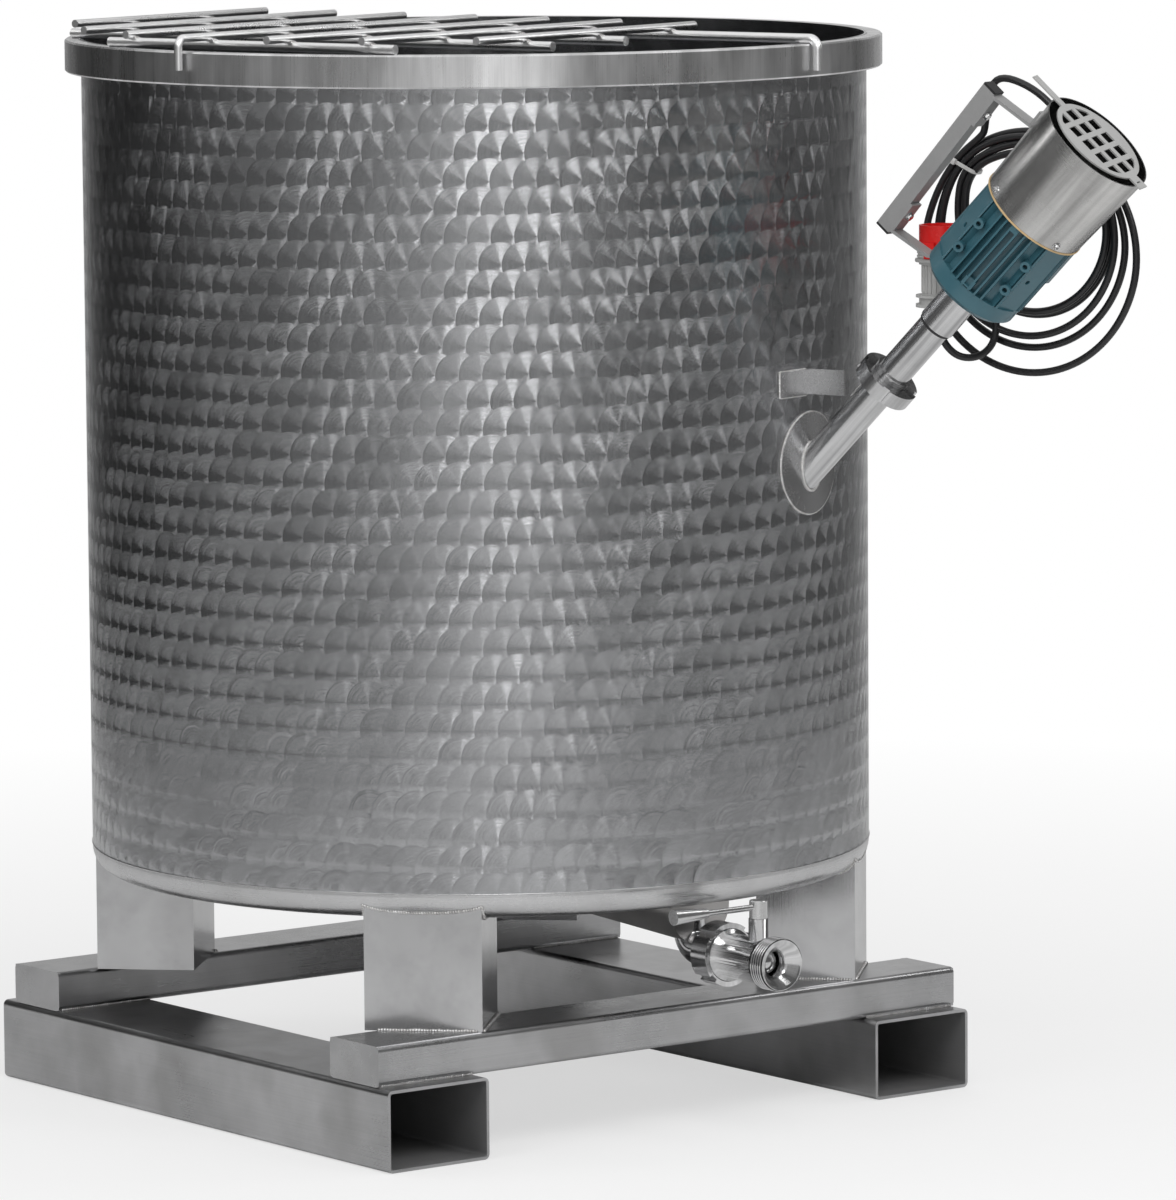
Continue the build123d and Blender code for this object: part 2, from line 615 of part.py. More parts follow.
def rod(start, end, diameter, hooked=False):
    """Return a rod of the grille, with a leg over the rim at its end where it is hooked."""
    points = [start, end]
    if hooked:
        points.append((end[0], end[1], end[2] - hook_drop))
        path = FilletPolyline(*points, radius=diameter)
    else:
        path = Line(*points)
    plane = Plane(origin=start, z_dir=(Vector(*end) - Vector(*start)).normalized())
    return sweep(plane * Circle(diameter / 2), path)


def on_grille(off, run, z):
    """Return a point run mm along the rods' direction and off mm across them."""
    point = across * off + along * run
    return (point.X, point.Y, z)


grille = Part()
for i in range(bar_count):
    run = bar_first + i * bar_pitch
    bar_left = -math.sqrt(rest_r**2 - run**2)
    bar_right = grille_edge + grille_edge_lean * run
    if i == hooked_bar:
        bar_left = -math.sqrt(hook_r**2 - run**2)
    bar_start = on_grille(bar_right, run, bar_z)
    grille += rod(bar_start, on_grille(bar_left, run, bar_z), bar_d, i == hooked_bar)
last_run = bar_first + (bar_count - 1) * bar_pitch
for place in rod_places[:-1]:
    reach = math.sqrt(rest_r**2 - place**2)
    rod_low = max(-reach, bar_first - 40)
    rod_high = min(reach, last_run + 20)
    grille += rod(on_grille(place, rod_high, rod_z), on_grille(place, rod_low, rod_z), rod_d)
last_place = rod_places[-1]
rod_start = on_grille(last_place, last_run + 10, rod_z)
rod_low = -math.sqrt(hook_r**2 - last_place**2)
grille += rod(rod_start, on_grille(last_place, rod_low, rod_z), rod_d, True)
write("safety_grille", grille)

# Cable: the hank behind the motor is one ring, narrow at its tie and wide at the bottom
hank_x = 112.0
hank_t = 24.0
hank_out = (247.5, 1074.0, 153.0)  # outer circle: distance out from the wall, height, radius
hank_in = (252.0, 1104.0, 101.0)
hank_plane = Plane(origin=beside(hank_x, 0, 0), x_dir=beside(0, 1, 0) - beside(0, 0, 0), z_dir=-mixer_side)
hank_sketch = Pos(hank_out[0], hank_out[1]) * Circle(hank_out[2])
hank_sketch -= Pos(hank_in[0], hank_in[1]) * Circle(hank_in[2])
hank = extrude(hank_sketch, hank_t / 2, both=True)
write("cable_coil", hank_plane * hank)
tie_angle = 154.0
tie_depth = 37.0
tie_mid = (157.2, 1175.7)  # the middle of the hank's narrow side
tie = Box(tie_depth + 4, 5, hank_t + 4) - Box(tie_depth + 1, 6, hank_t + 0.6)
tie += Pos(tie_depth / 2 + 4, 0, hank_t / 2) * Box(6, 8, 6)
write("cable_tie", hank_plane * Pos(*tie_mid) * Rot(0, 0, tie_angle) * tie)


def cord(points):
    """Return a round cable along the points."""
    path = cord_path(points)
    start = Vector(*points[0])
    plane = Plane(origin=start, z_dir=(Vector(*points[1]) - start).normalized())
    return sweep(plane * Circle(cable_d / 2), path)


# Lead: from the gland, over behind the handle's upper bracket, down into the hank
gland_end = mixer_plane.from_local_coords(Vector(box_x, 0, gland_top_s))
lead_points = [
    gland_end,
    gland_end + mixer_dir * 34,
    beside(88, 338, 1200),
    beside(86, 305, 1242),
    beside(80, 268, 1276),
    beside(82, 216, 1290),
    beside(96, 196, 1255),
    beside(108, 189, 1214),
]
write("cable_lead", cord(lead_points))

# Tail: from the plug's end down, round and up into the hank
tail_points = [
    beside(plug_x, plug_out, plug_z),
    beside(plug_x, plug_out, plug_z - 23),
    beside(72, 166, 950),
    beside(88, 183, 950),
    beside(100, 195, 967),
]
write("cable_tail", cord(tail_points))
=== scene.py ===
"""Mixing tank on a pallet frame: looks, cable, welds, threads, camera and light.

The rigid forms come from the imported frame. This script gives them their finishes, makes the
cable along its real route, and adds what is too fine for the frame.
"""
import logging
import math
from dataclasses import dataclass, field
from enum import Enum
from itertools import product
from typing import Callable, Iterable, Sequence

import bmesh
import bpy
from bmesh.types import BMesh
from bpy.types import ID, Material, Mesh, Node, NodeSocket, Object
from mathutils import Matrix, Vector


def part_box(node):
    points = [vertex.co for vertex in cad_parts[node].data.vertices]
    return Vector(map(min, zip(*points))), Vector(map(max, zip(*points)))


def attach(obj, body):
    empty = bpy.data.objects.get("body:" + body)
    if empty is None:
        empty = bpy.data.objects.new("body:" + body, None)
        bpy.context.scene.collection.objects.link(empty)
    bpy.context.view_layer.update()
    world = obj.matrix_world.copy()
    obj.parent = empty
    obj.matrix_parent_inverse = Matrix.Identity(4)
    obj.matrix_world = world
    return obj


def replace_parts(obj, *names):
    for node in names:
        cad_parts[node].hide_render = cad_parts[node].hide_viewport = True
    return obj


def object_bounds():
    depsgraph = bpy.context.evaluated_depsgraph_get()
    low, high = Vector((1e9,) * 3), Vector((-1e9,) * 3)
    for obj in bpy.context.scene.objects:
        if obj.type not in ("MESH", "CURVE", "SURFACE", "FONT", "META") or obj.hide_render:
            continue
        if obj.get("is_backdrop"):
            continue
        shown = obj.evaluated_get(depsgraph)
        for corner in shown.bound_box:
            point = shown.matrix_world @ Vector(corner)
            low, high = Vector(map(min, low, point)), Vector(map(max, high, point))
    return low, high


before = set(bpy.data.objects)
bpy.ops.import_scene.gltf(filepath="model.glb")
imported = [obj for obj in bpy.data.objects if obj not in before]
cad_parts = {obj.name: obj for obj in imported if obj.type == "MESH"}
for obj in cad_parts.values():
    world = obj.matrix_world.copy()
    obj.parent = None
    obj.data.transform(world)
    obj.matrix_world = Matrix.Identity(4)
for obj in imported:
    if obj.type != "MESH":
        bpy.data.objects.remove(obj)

log = logging.getLogger("mixing_tank")

MM = 0.001
PHOTO_HEIGHT = 1200
TANK_BODY = "tank"
TANK_RADIUS = 490.0
DRAIN_HEIGHT = 228.0
PLUG_FOOT = (60.0, 154.0, 990.0)
UP = Vector((0, 0, 1))
WHITE = (1.0, 1.0, 1.0, 1.0)
Triple = tuple[float, float, float]
Outline = tuple[tuple[float, float], ...]


class Spread(Enum):
    """How a brushed finish's fine lines lie: how close they are along x, y and z, or round an axis."""

    ALONG_X = (5, 900, 900)
    ALONG_Y = (900, 5, 900)
    ALONG_Z = (900, 900, 5)
    ROUND = (1.5, 900, 900)
    CLOUDY = (700, 700, 700)


# ---- Places ----------------------------------------------------------------


def tank_axis() -> Vector:
    """Return the foot of the tank's axis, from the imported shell's box."""
    low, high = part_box("tank_shell")
    return Vector(((low.x + high.x) / 2, (low.y + high.y) / 2, 0.0))


def drain_middle(axis: Vector) -> Vector:
    """Return the point of the drain's axis under the tank's middle."""
    return axis + UP * DRAIN_HEIGHT * MM


@dataclass(frozen=True)
class MixerPlace:
    """The slanted mixer's own axes, in the tank's frame. Sizes are millimetres."""

    foot: Vector
    bearing: float = math.radians(19.5)
    rise: float = math.radians(45.5)
    height: float = 807.2

    @property
    def outwards(self) -> Vector:
        """Return the level direction away from the tank."""
        return Vector((math.sin(self.bearing), -math.cos(self.bearing), 0))

    @property
    def origin(self) -> Vector:
        """Return the point where the mixer's axis meets the wall, in metres."""
        return self.beside(0, 0, self.height)

    @property
    def along(self) -> Vector:
        """Return the mixer's direction, up and outwards."""
        return self.outwards * math.cos(self.rise) + UP * math.sin(self.rise)

    @property
    def side(self) -> Vector:
        """Return the level direction across the mixer."""
        return Vector((math.cos(self.bearing), math.sin(self.bearing), 0))

    @property
    def up(self) -> Vector:
        """Return the direction square to the mixer, towards its handle."""
        return self.along.cross(self.side)

    def at(self, x: float, y: float, s: float) -> Vector:
        """Return the point x across, y towards the handle and s along the mixer.

        Args:
            x: millimetres across.
            y: millimetres towards the handle.
            s: millimetres from the wall.

        Returns:
            The point in metres.
        """
        return self.origin + (self.side * x + self.up * y + self.along * s) * MM

    def beside(self, x: float, out: float, z: float) -> Vector:
        """Return a point by its distance across, out from the wall, and its height.

        Args:
            x: millimetres across the mixer.
            out: millimetres outwards from the wall.
            z: millimetres above the floor.

        Returns:
            The point in metres.
        """
        return self.foot + (self.outwards * (TANK_RADIUS + out) + self.side * x + UP * z) * MM

    def matrix(self, s: float = 0.0) -> Matrix:
        """Return the matrix whose Z axis lies along the mixer, at distance s."""
        columns = Matrix((self.side, self.up, self.along)).transposed().to_4x4()
        return Matrix.Translation(self.at(0, 0, s)) @ columns


# ---- Shader building -------------------------------------------------------


def arithmetic(operation: str, turned: bool = False) -> Callable[["Value", "Value | float"], "Value"]:
    """Make an operator's method, which adds one Math node.

    Args:
        operation: the node's operation.
        turned: whether the other value comes first.

    Returns:
        The method.
    """
    def method(self: "Value", other: "Value | float") -> "Value":
        """Return the node's result."""
        return self.graph.math(operation, *((other, self) if turned else (self, other)))

    return method


class Value:
    """A shader socket that takes part in arithmetic."""

    def __init__(self, graph: "Graph", socket: NodeSocket) -> None:
        """Keep the graph that new nodes go to, and the output socket."""
        self.graph = graph
        self.socket = socket

    __add__, __radd__ = arithmetic("ADD"), arithmetic("ADD", turned=True)
    __sub__, __rsub__ = arithmetic("SUBTRACT"), arithmetic("SUBTRACT", turned=True)
    __mul__, __rmul__ = arithmetic("MULTIPLY"), arithmetic("MULTIPLY", turned=True)
    __truediv__ = arithmetic("DIVIDE")
    __gt__, __lt__ = arithmetic("GREATER_THAN"), arithmetic("LESS_THAN")


class Graph:
    """A material, or the world, and the nodes that make it."""

    def __init__(self, name: str, world: bool = False) -> None:
        """Start an empty node tree.

        Args:
            name: the material's or world's name.
            world: whether it is a world.
        """
        self.owner = (bpy.data.worlds if world else bpy.data.materials).new(name)
        self.owner.use_nodes = True
        self.tree = self.owner.node_tree
        self.tree.nodes.clear()

    def node(self, kind: str, settings: dict | None = None, inputs: dict | None = None) -> Node:
        """Add a node.

        Args:
            kind: the node's type.
            settings: attributes that are set first; "stops" sets a colour ramp.
            inputs: values or links by socket name or number.

        Returns:
            The node.
        """
        made = self.tree.nodes.new(kind)
        for key, value in (settings or {}).items():
            if key == "stops":
                elements = made.color_ramp.elements
                while len(elements) < len(value):
                    elements.new(1.0)
                for element, (place, colour) in zip(elements, value):
                    element.position = place
                    element.color = (*colour, 1.0)
            else:
                setattr(made, key, value)
        for key, value in (inputs or {}).items():
            socket = made.inputs[key]
            if isinstance(value, Value):
                self.tree.links.new(value.socket, socket)
            else:
                socket.default_value = value
        return made

    def out(self, node: Node, key: str | int = 0) -> Value:
        """Return one output of a node."""
        return Value(self, node.outputs[key])

    def math(self, operation: str, *values: Value | float) -> Value:
        """Return one Math node's result."""
        inputs = dict(enumerate(values))
        return self.out(self.node("ShaderNodeMath", {"operation": operation}, inputs))

    def vector(self, operation: str, *values: Value | Sequence[float],
               scale: Value | float | None = None) -> Value:
        """Return one Vector Math node's result.

        Args:
            operation: the node's operation.
            values: vectors, or links to them.
            scale: the factor of a SCALE operation.

        Returns:
            The vector, or the number where the operation gives one.
        """
        inputs: dict = dict(enumerate(values))
        if scale is not None:
            inputs["Scale"] = scale
        node = self.node("ShaderNodeVectorMath", {"operation": operation}, inputs)
        return self.out(node, "Value" if operation in ("DOT_PRODUCT", "LENGTH") else "Vector")

    def place(self) -> Value:
        """Return Object coordinates."""
        return self.out(self.node("ShaderNodeTexCoord"), "Object")

    def split(self, vector: Value) -> tuple[Value, Value, Value]:
        """Return a vector's three parts."""
        node = self.node("ShaderNodeSeparateXYZ", inputs={0: vector})
        return self.out(node, 0), self.out(node, 1), self.out(node, 2)

    def join(self, x: Value | float, y: Value | float, z: Value | float) -> Value:
        """Return a vector from three parts."""
        return self.out(self.node("ShaderNodeCombineXYZ", inputs={0: x, 1: y, 2: z}))

    def noise(self, vector: Value, scale: float, detail: float = 3.0, rough: float = 0.5) -> Value:
        """Return noise from 0 to 1."""
        inputs = {"Vector": vector, "Scale": scale, "Detail": detail, "Roughness": rough}
        return self.out(self.node("ShaderNodeTexNoise", inputs=inputs), 0)

    def fit(self, value: Value, low: float, high: float, to_low: float = 0.0, to_high: float = 1.0) -> Value:
        """Return a value mapped from one range to another, and held inside it."""
        inputs = {0: value, 1: low, 2: high, 3: to_low, 4: to_high}
        return self.out(self.node("ShaderNodeMapRange", inputs=inputs))

    def blend(self, mask: Value | float, first: Value | Sequence[float], second: Value | Sequence[float],
              kind: str = "MIX") -> Value:
        """Return a mix of two colours.

        Args:
            mask: 0 gives the first colour, 1 the second.
            first: a colour, or a link to one.
            second: a colour, or a link to one.
            kind: the blend type.

        Returns:
            The colour.
        """
        def tone(colour: Value | Sequence[float]) -> Value | tuple[float, ...]:
            """Return a colour with its alpha, or the link itself."""
            return colour if isinstance(colour, Value) else (*colour, 1.0)

        settings = {"data_type": "RGBA", "blend_type": kind, "clamp_factor": True}
        inputs = {0: mask, 6: tone(first), 7: tone(second)}
        return self.out(self.node("ShaderNodeMix", settings, inputs), 2)

    def grey(self, level: Value) -> Value:
        """Return a grey colour from a number."""
        return self.out(self.node("ShaderNodeCombineColor", inputs={0: level, 1: level, 2: level}))

    def around(self, origin: Vector, along: Vector, across: Vector) -> tuple[Value, Value, Value]:
        """Return the angle, radius and height about an axis.

        Args:
            origin: a point on the axis.
            along: the axis.
            across: a direction square to it, where the angle is 0.

        Returns:
            The angle in radians, the radius and the height in metres.
        """
        moved = self.vector("SUBTRACT", self.place(), tuple(origin))
        other = along.cross(across)
        u = self.vector("DOT_PRODUCT", moved, tuple(across))
        v = self.vector("DOT_PRODUCT", moved, tuple(other))
        height = self.vector("DOT_PRODUCT", moved, tuple(along))
        radius = self.math("SQRT", u * u + v * v)
        return self.math("ARCTAN2", v, u), radius, height

    def bump(self, height: Value, strength: float, distance: float) -> Value:
        """Return a normal from a height."""
        inputs = {"Strength": strength, "Distance": distance, "Height": height}
        return self.out(self.node("ShaderNodeBump", inputs=inputs), 0)

    def shader(self, kind: str, inputs: dict) -> Value:
        """Return the output of a new shader node."""
        return self.out(self.node("ShaderNode" + kind, inputs=inputs))

    def mixed(self, mask: Value, first: Value, second: Value, output: str = "Material") -> None:
        """Close the tree with a mix of two shaders."""
        made = self.shader("MixShader", {0: mask, 1: first, 2: second})
        self.node("ShaderNodeOutput" + output, inputs={0: made})

    def finish(self, **sockets: Value | float | tuple) -> Material:
        """Close the tree with a Principled shader.

        Args:
            sockets: its sockets by name, with underscores for spaces.

        Returns:
            The material.
        """
        inputs = {}
        for key, value in sockets.items():
            if isinstance(value, tuple) and len(value) == 3:
                value = (*value, 1.0)
            inputs[key.replace("_", " ")] = value
        self.node("ShaderNodeOutputMaterial", inputs={0: self.shader("BsdfPrincipled", inputs)})
        return self.owner


# ---- Finishes --------------------------------------------------------------


@dataclass(frozen=True)
class ThreadBand:
    """Where a round thread lies on its axis, and how much painted shade darkens its roots. Metres."""

    start: float = -0.6062
    end: float = -0.5812
    inner: float = 0.0290
    root: float = 0.0311
    crest: float = 0.0322
    # how much painted shade darkens the colour at the roots
    dark: float = 0.94

    def light(self, graph: Graph, radius: Value, height: Value) -> Value:
        """Return the share of light that a point keeps."""
        within = (height > self.start) * (height < self.end) * (radius > self.inner)
        return 1.0 - within * graph.fit(radius, self.root, self.crest, self.dark, 0.0)


@dataclass(frozen=True)
class TubeInside:
    """The dull, rough inside of the two fork tubes, each at one side of the tank, its colour darkened as
    painted shade. Metres.
    """

    near: float = 0.3042
    far: float = 0.4468
    low: float = 0.0037
    high: float = 0.0963
    dull: float = 0.85
    # how much painted shade darkens the colour inside the tubes
    dark: float = 0.62
    rougher: float = 0.3

    def mask(self, graph: Graph) -> Value:
        """Tell the inside of a tube from the rest.

        Args:
            graph: the material.

        Returns:
            1 inside, else 0.
        """
        x, _, z = graph.split(graph.place())
        off = graph.math("ABSOLUTE", x)
        return (off > self.near) * (off < self.far) * (z > self.low) * (z < self.high)


@dataclass(frozen=True)
class BrushedSteel:
    """Bare stainless steel with fine lines, a soft cloud of wear and small marks, and where asked painted
    reflection streaks and painted shade in its colour.
    """

    name: str
    colour: Triple = (0.60, 0.60, 0.605)
    roughness: float = 0.28
    spread: Spread = Spread.CLOUDY
    origin: Vector = field(default_factory=Vector)
    along: Vector = field(default_factory=UP.copy)
    across: Vector = field(default_factory=lambda: Vector((1, 0, 0)))
    lines: float = 0.10
    cloud: float = 0.16
    grain: float = 0.5
    tint: float = 0.0
    # how strongly streaks round the axis, a painted reflection, lighten and darken the colour
    reflection_bands: float = 0.0
    reflection_band_pitch: float = 9.0
    thread: ThreadBand | None = None
    hollow: TubeInside | None = None

    def line_place(self, graph: Graph) -> Value:
        """Stretch the coordinates along the brushed lines.

        Args:
            graph: the material.

        Returns:
            The coordinates.
        """
        if self.spread is Spread.ROUND:
            parts = graph.around(self.origin, self.along, self.across)
        else:
            parts = graph.split(graph.place())
        return graph.join(*(part * scale for part, scale in zip(parts, self.spread.value)))

    def build(self) -> Material:
        """Build the material.

        Returns:
            The material.
        """
        graph = Graph(self.name)
        place = graph.place()
        fine = graph.noise(self.line_place(graph), 1.0, 4.0, 0.65)
        cloud = graph.noise(place, 5.5, 3.0, 0.6)
        smudge = graph.fit(graph.noise(place, 26.0, 4.0, 0.7), 0.45, 0.75)
        level = (fine - 0.5) * self.lines * 2 + (cloud - 0.5) * self.cloud * 2 - smudge * 0.06 + 1.0
        if self.reflection_bands:
            angle, _, height = graph.around(self.origin, self.along, self.across)
            # painted reflection: light and dark streaks round the axis are painted into the colour
            band = graph.noise(graph.join(angle * self.reflection_band_pitch, 0.0, height * 3.0), 1.0, 3.0, 0.6)
            level = level * graph.fit(band, 0.32, 0.68, 1.0 - self.reflection_bands, 1.0)
        if self.thread:
            _, radius, height = graph.around(self.origin, self.along, self.across)
            # painted shade: the colour darkens in the thread's roots
            level = level * self.thread.light(graph, radius, height)
        rough = (fine - 0.5) * 0.12 + (cloud - 0.5) * 0.16 + smudge * 0.05 + self.roughness
        metal: Value | float = 1.0
        if self.hollow:
            inside = self.hollow.mask(graph)
            metal = 1.0 - inside * self.hollow.dull
            # painted shade: the colour is darkened inside the tubes
            level = level * (1.0 - inside * self.hollow.dark)
            rough = rough + inside * self.hollow.rougher
        colour = graph.blend(1.0, self.colour, graph.grey(level), "MULTIPLY")
        if self.tint:
            warm = graph.fit(graph.noise(place, 9.0, 2.0, 0.5), 0.52, 0.7, 0.0, self.tint)
            colour = graph.blend(warm, colour, (0.25, 0.245, 0.24))
        normal = graph.bump(fine, self.grain, 0.00012)
        return graph.finish(Base_Color=colour, Metallic=metal, Roughness=rough, Normal=normal)


@dataclass(frozen=True)
class EngineTurnedSteel:
    """The shell's sheet: overlapping round spots, each with its own fine rings, and vertical streaks of
    painted reflection in its colour.
    """

    name: str
    axis: Vector
    radius: float = 0.490
    count: int = 110
    row_pitch: float = 0.033
    spot_radius: float = 0.0275
    first_row: float = 0.318
    row_jitter: float = 0.22
    wobble: float = 0.004
    broad_rings: float = 0.42
    fine_rings: float = 40.0
    tilt: float = 1.7
    broad_tilt: float = 0.02
    sheet: float = 0.0006
    colour: Triple = (0.47, 0.475, 0.485)
    roughness: float = 0.17

    def chance(self, graph: Graph, key: Value) -> Value:
        """Return a random number from 0 to 1 for a key."""
        return graph.out(graph.node("ShaderNodeTexWhiteNoise", {"noise_dimensions": "1D"}, {"W": key}), 0)

    def spot(self, graph: Graph, turn: Value, rise: Value, row: Value) -> tuple[Value, Value, Value, Value]:
        """Find the spot of one row that lies on top at a point.

        Args:
            graph: the material.
            turn: the place round the shell, in spots.
            rise: the height in metres, from the row's own middle.
            row: the row's number.

        Returns:
            Distances across and up from the spot's middle, whether it covers the point, and its number.
        """
        pitch = math.tau * self.radius / self.count
        shift = graph.math("PINGPONG", row, 1.0) * 0.5
        shift = shift + (self.chance(graph, row) - 0.5) * self.row_jitter
        square = graph.math("MAXIMUM", self.spot_radius ** 2 - rise * rise, 0.0)
        half = graph.math("SQRT", square) / pitch
        number = graph.math("FLOOR", turn + half - shift)
        across = turn - number - shift
        inside = (across < half) * (square > 1e-9)
        return across * pitch, rise, inside, number

    def build(self) -> Material:
        """Build the material.

        Returns:
            The material.
        """
        graph = Graph(self.name)
        angle, radius, height = graph.around(self.axis, UP, Vector((1, 0, 0)))
        wobble = (graph.noise(graph.join(angle * 3.0, 0.0, height * 7.0), 1.0, 1.0) - 0.5) * self.wobble
        turn = angle * (self.count / math.tau)
        climb = (height + wobble - self.first_row) / self.row_pitch
        row = graph.math("FLOOR", climb)
        rise = (climb - row) * self.row_pitch
        upper = self.spot(graph, turn, rise - self.row_pitch, row + 1.0)
        lower = self.spot(graph, turn, rise, row)
        use = lower[2]
        over = 1.0 - use
        across = lower[0] * use + upper[0] * over
        rise = lower[1] * use + upper[1] * over
        key = (lower[3] * 1.7 + row) * use + (upper[3] * 1.7 + row + 1.0) * over
        reach = graph.math("SQRT", across * across + rise * rise + 1e-8)
        ring_place = graph.join(reach * 1000.0, key * 0.37, 0.0)
        wide = graph.noise(ring_place, self.broad_rings, 2.0, 0.6) - 0.5
        fine = graph.noise(ring_place, self.fine_rings, 0.0, 0.5) - 0.5
        lean = fine * self.tilt + wide * self.broad_tilt
        out = graph.join(graph.math("COSINE", angle), graph.math("SINE", angle), 0.0)
        tangent = graph.join(graph.math("SINE", angle) * -1.0, graph.math("COSINE", angle), 0.0)
        push = graph.vector("SCALE", tangent, scale=across / reach * lean)
        lift = graph.join(0.0, 0.0, rise / reach * lean)
        turned = graph.vector("NORMALIZE", graph.vector("ADD", graph.vector("ADD", out, push), lift))
        plain = graph.out(graph.node("ShaderNodeNewGeometry"), "Normal")
        outer = radius > self.radius - self.sheet
        normal = graph.blend(outer, plain, turned)
        tone = self.chance(graph, key)
        edge = graph.fit(reach, self.spot_radius * 0.86, self.spot_radius)
        cloud = graph.noise(graph.place(), 3.2, 3.0, 0.6)
        # painted reflection: vertical streaks round the shell lighten and darken the colour
        reflection_streak = graph.noise(graph.join(angle * 16.0, 0.0, height * 1.1), 1.0, 3.0, 0.6)
        level = 0.90 + (tone - 0.5) * 0.10 + wide * 0.05 - edge * 0.10
        level = level + (cloud - 0.5) * 0.22 + (reflection_streak - 0.5) * 0.22
        colour = graph.blend(1.0, self.colour, graph.grey(level), "MULTIPLY")
        rough = self.roughness + (tone - 0.5) * 0.04 + (cloud - 0.5) * 0.10 + edge * 0.04
        return graph.finish(Base_Color=colour, Metallic=1.0, Roughness=rough, Normal=normal)


@dataclass(frozen=True)
class Paint:
    """Satin machine paint with a slight orange peel and rubbed, dusty parts."""

    name: str
    colour: Triple
    worn: Triple
    roughness: float = 0.34

    def build(self) -> Material:
        """Build the material.

        Returns:
            The material.
        """
        graph = Graph(self.name)
        place = graph.place()
        cloud = graph.noise(place, 14.0, 4.0, 0.65)
        peel = graph.noise(place, 900.0, 2.0, 0.5)
        rub = graph.fit(graph.noise(place, 55.0, 5.0, 0.75), 0.55, 0.74)
        colour = graph.blend(graph.fit(cloud, 0.3, 0.7, 0.0, 0.55), self.colour, self.worn)
        colour = graph.blend(rub * 0.35, colour, self.worn)
        rough = self.roughness + (cloud - 0.5) * 0.2 + rub * 0.08
        normal = graph.bump(peel, 0.25, 0.00025)
        return graph.finish(Base_Color=colour, Roughness=rough, Normal=normal, Coat_Weight=0.15)


@dataclass(frozen=True)
class Moulded:
    """Plastic or rubber with a fine skin texture and a little unevenness."""

    name: str
    colour: Triple
    roughness: float = 0.5
    skin: float = 0.25
    mottle: float = 0.12

    def build(self) -> Material:
        """Build the material.

        Returns:
            The material.
        """
        graph = Graph(self.name)
        place = graph.place()
        cloud = graph.noise(place, 30.0, 4.0, 0.6)
        level = 1.0 + (cloud - 0.5) * 2 * self.mottle
        colour = graph.blend(1.0, self.colour, graph.grey(level), "MULTIPLY")
        rough = self.roughness + (cloud - 0.5) * 0.18
        normal = graph.bump(graph.noise(place, 1400.0, 2.0), self.skin, 0.0002)
        return graph.finish(Base_Color=colour, Roughness=rough, Normal=normal)


@dataclass(frozen=True)
class WeldMetal:
    """A weld bead: bright, with a grey heat tint."""

    name: str

    def build(self) -> Material:
        """Build the material.

        Returns:
            The material.
        """
        graph = Graph(self.name)
        place = graph.place()
        heat = graph.noise(place, 70.0, 3.0, 0.6)
        colour = graph.node("ShaderNodeValToRGB", {"stops": [
            (0.30, (0.82, 0.82, 0.82)), (0.55, (0.66, 0.65, 0.64)), (0.75, (0.42, 0.41, 0.41))]}, {0: heat})
        normal = graph.bump(graph.noise(place, 900.0, 3.0), 0.5, 0.0003)
        rough = heat * 0.25 + 0.22
        return graph.finish(Base_Color=graph.out(colour), Metallic=1.0, Roughness=rough, Normal=normal)


# ---- Mesh building ---------------------------------------------------------


def linked(name: str, data: ID) -> Object:
    """Put a mesh, curve, lamp or camera into the scene.

    Args:
        name: the object's name.
        data: what it shows.

    Returns:
        The object.
    """
    made = bpy.data.objects.new(name, data)
    bpy.context.scene.collection.objects.link(made)
    return made


def settled(shape: BMesh, name: str) -> Mesh:
    """Write a finished shape to a new mesh, and free it.

    Args:
        shape: the shape.
        name: the mesh's name.

    Returns:
        The mesh.
    """
    mesh = bpy.data.meshes.new(name)
    shape.to_mesh(mesh)
    shape.free()
    return mesh


def plain_object(name: str, mesh: Mesh, material: Material, smooth: float = 40.0) -> Object:
    """Make an object of a mesh at the origin.

    Args:
        name: the piece's name.
        mesh: its mesh, in place.
        material: its finish.
        smooth: the angle in degrees above which an edge stays sharp.

    Returns:
        The object.
    """
    made = linked(name, mesh)
    mesh.materials.clear()
    mesh.materials.append(material)
    mesh.shade_smooth()
    mesh.set_sharp_from_angle(angle=math.radians(smooth))
    return made


def wear(piece: Object, slot: str) -> Object:
    """Make a piece ride on the tank, and report it with its material slot.

    Args:
        piece: the piece.
        slot: its material slot.

    Returns:
        The piece.
    """
    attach(piece, TANK_BODY)
    log.info("%s: made, %s", piece.name, slot)
    return piece


def circle(steps: int) -> list[Vector]:
    """Return unit vectors, evenly spaced round the Z axis."""
    return [Vector((math.cos(math.tau * i / steps), math.sin(math.tau * i / steps), 0)) for i in range(steps)]


def facing(point: Vector, direction: Vector) -> Matrix:
    """Return the place of a turned piece whose axis points along a direction."""
    return Matrix.Translation(point) @ direction.to_track_quat("Z", "Y").to_matrix().to_4x4()


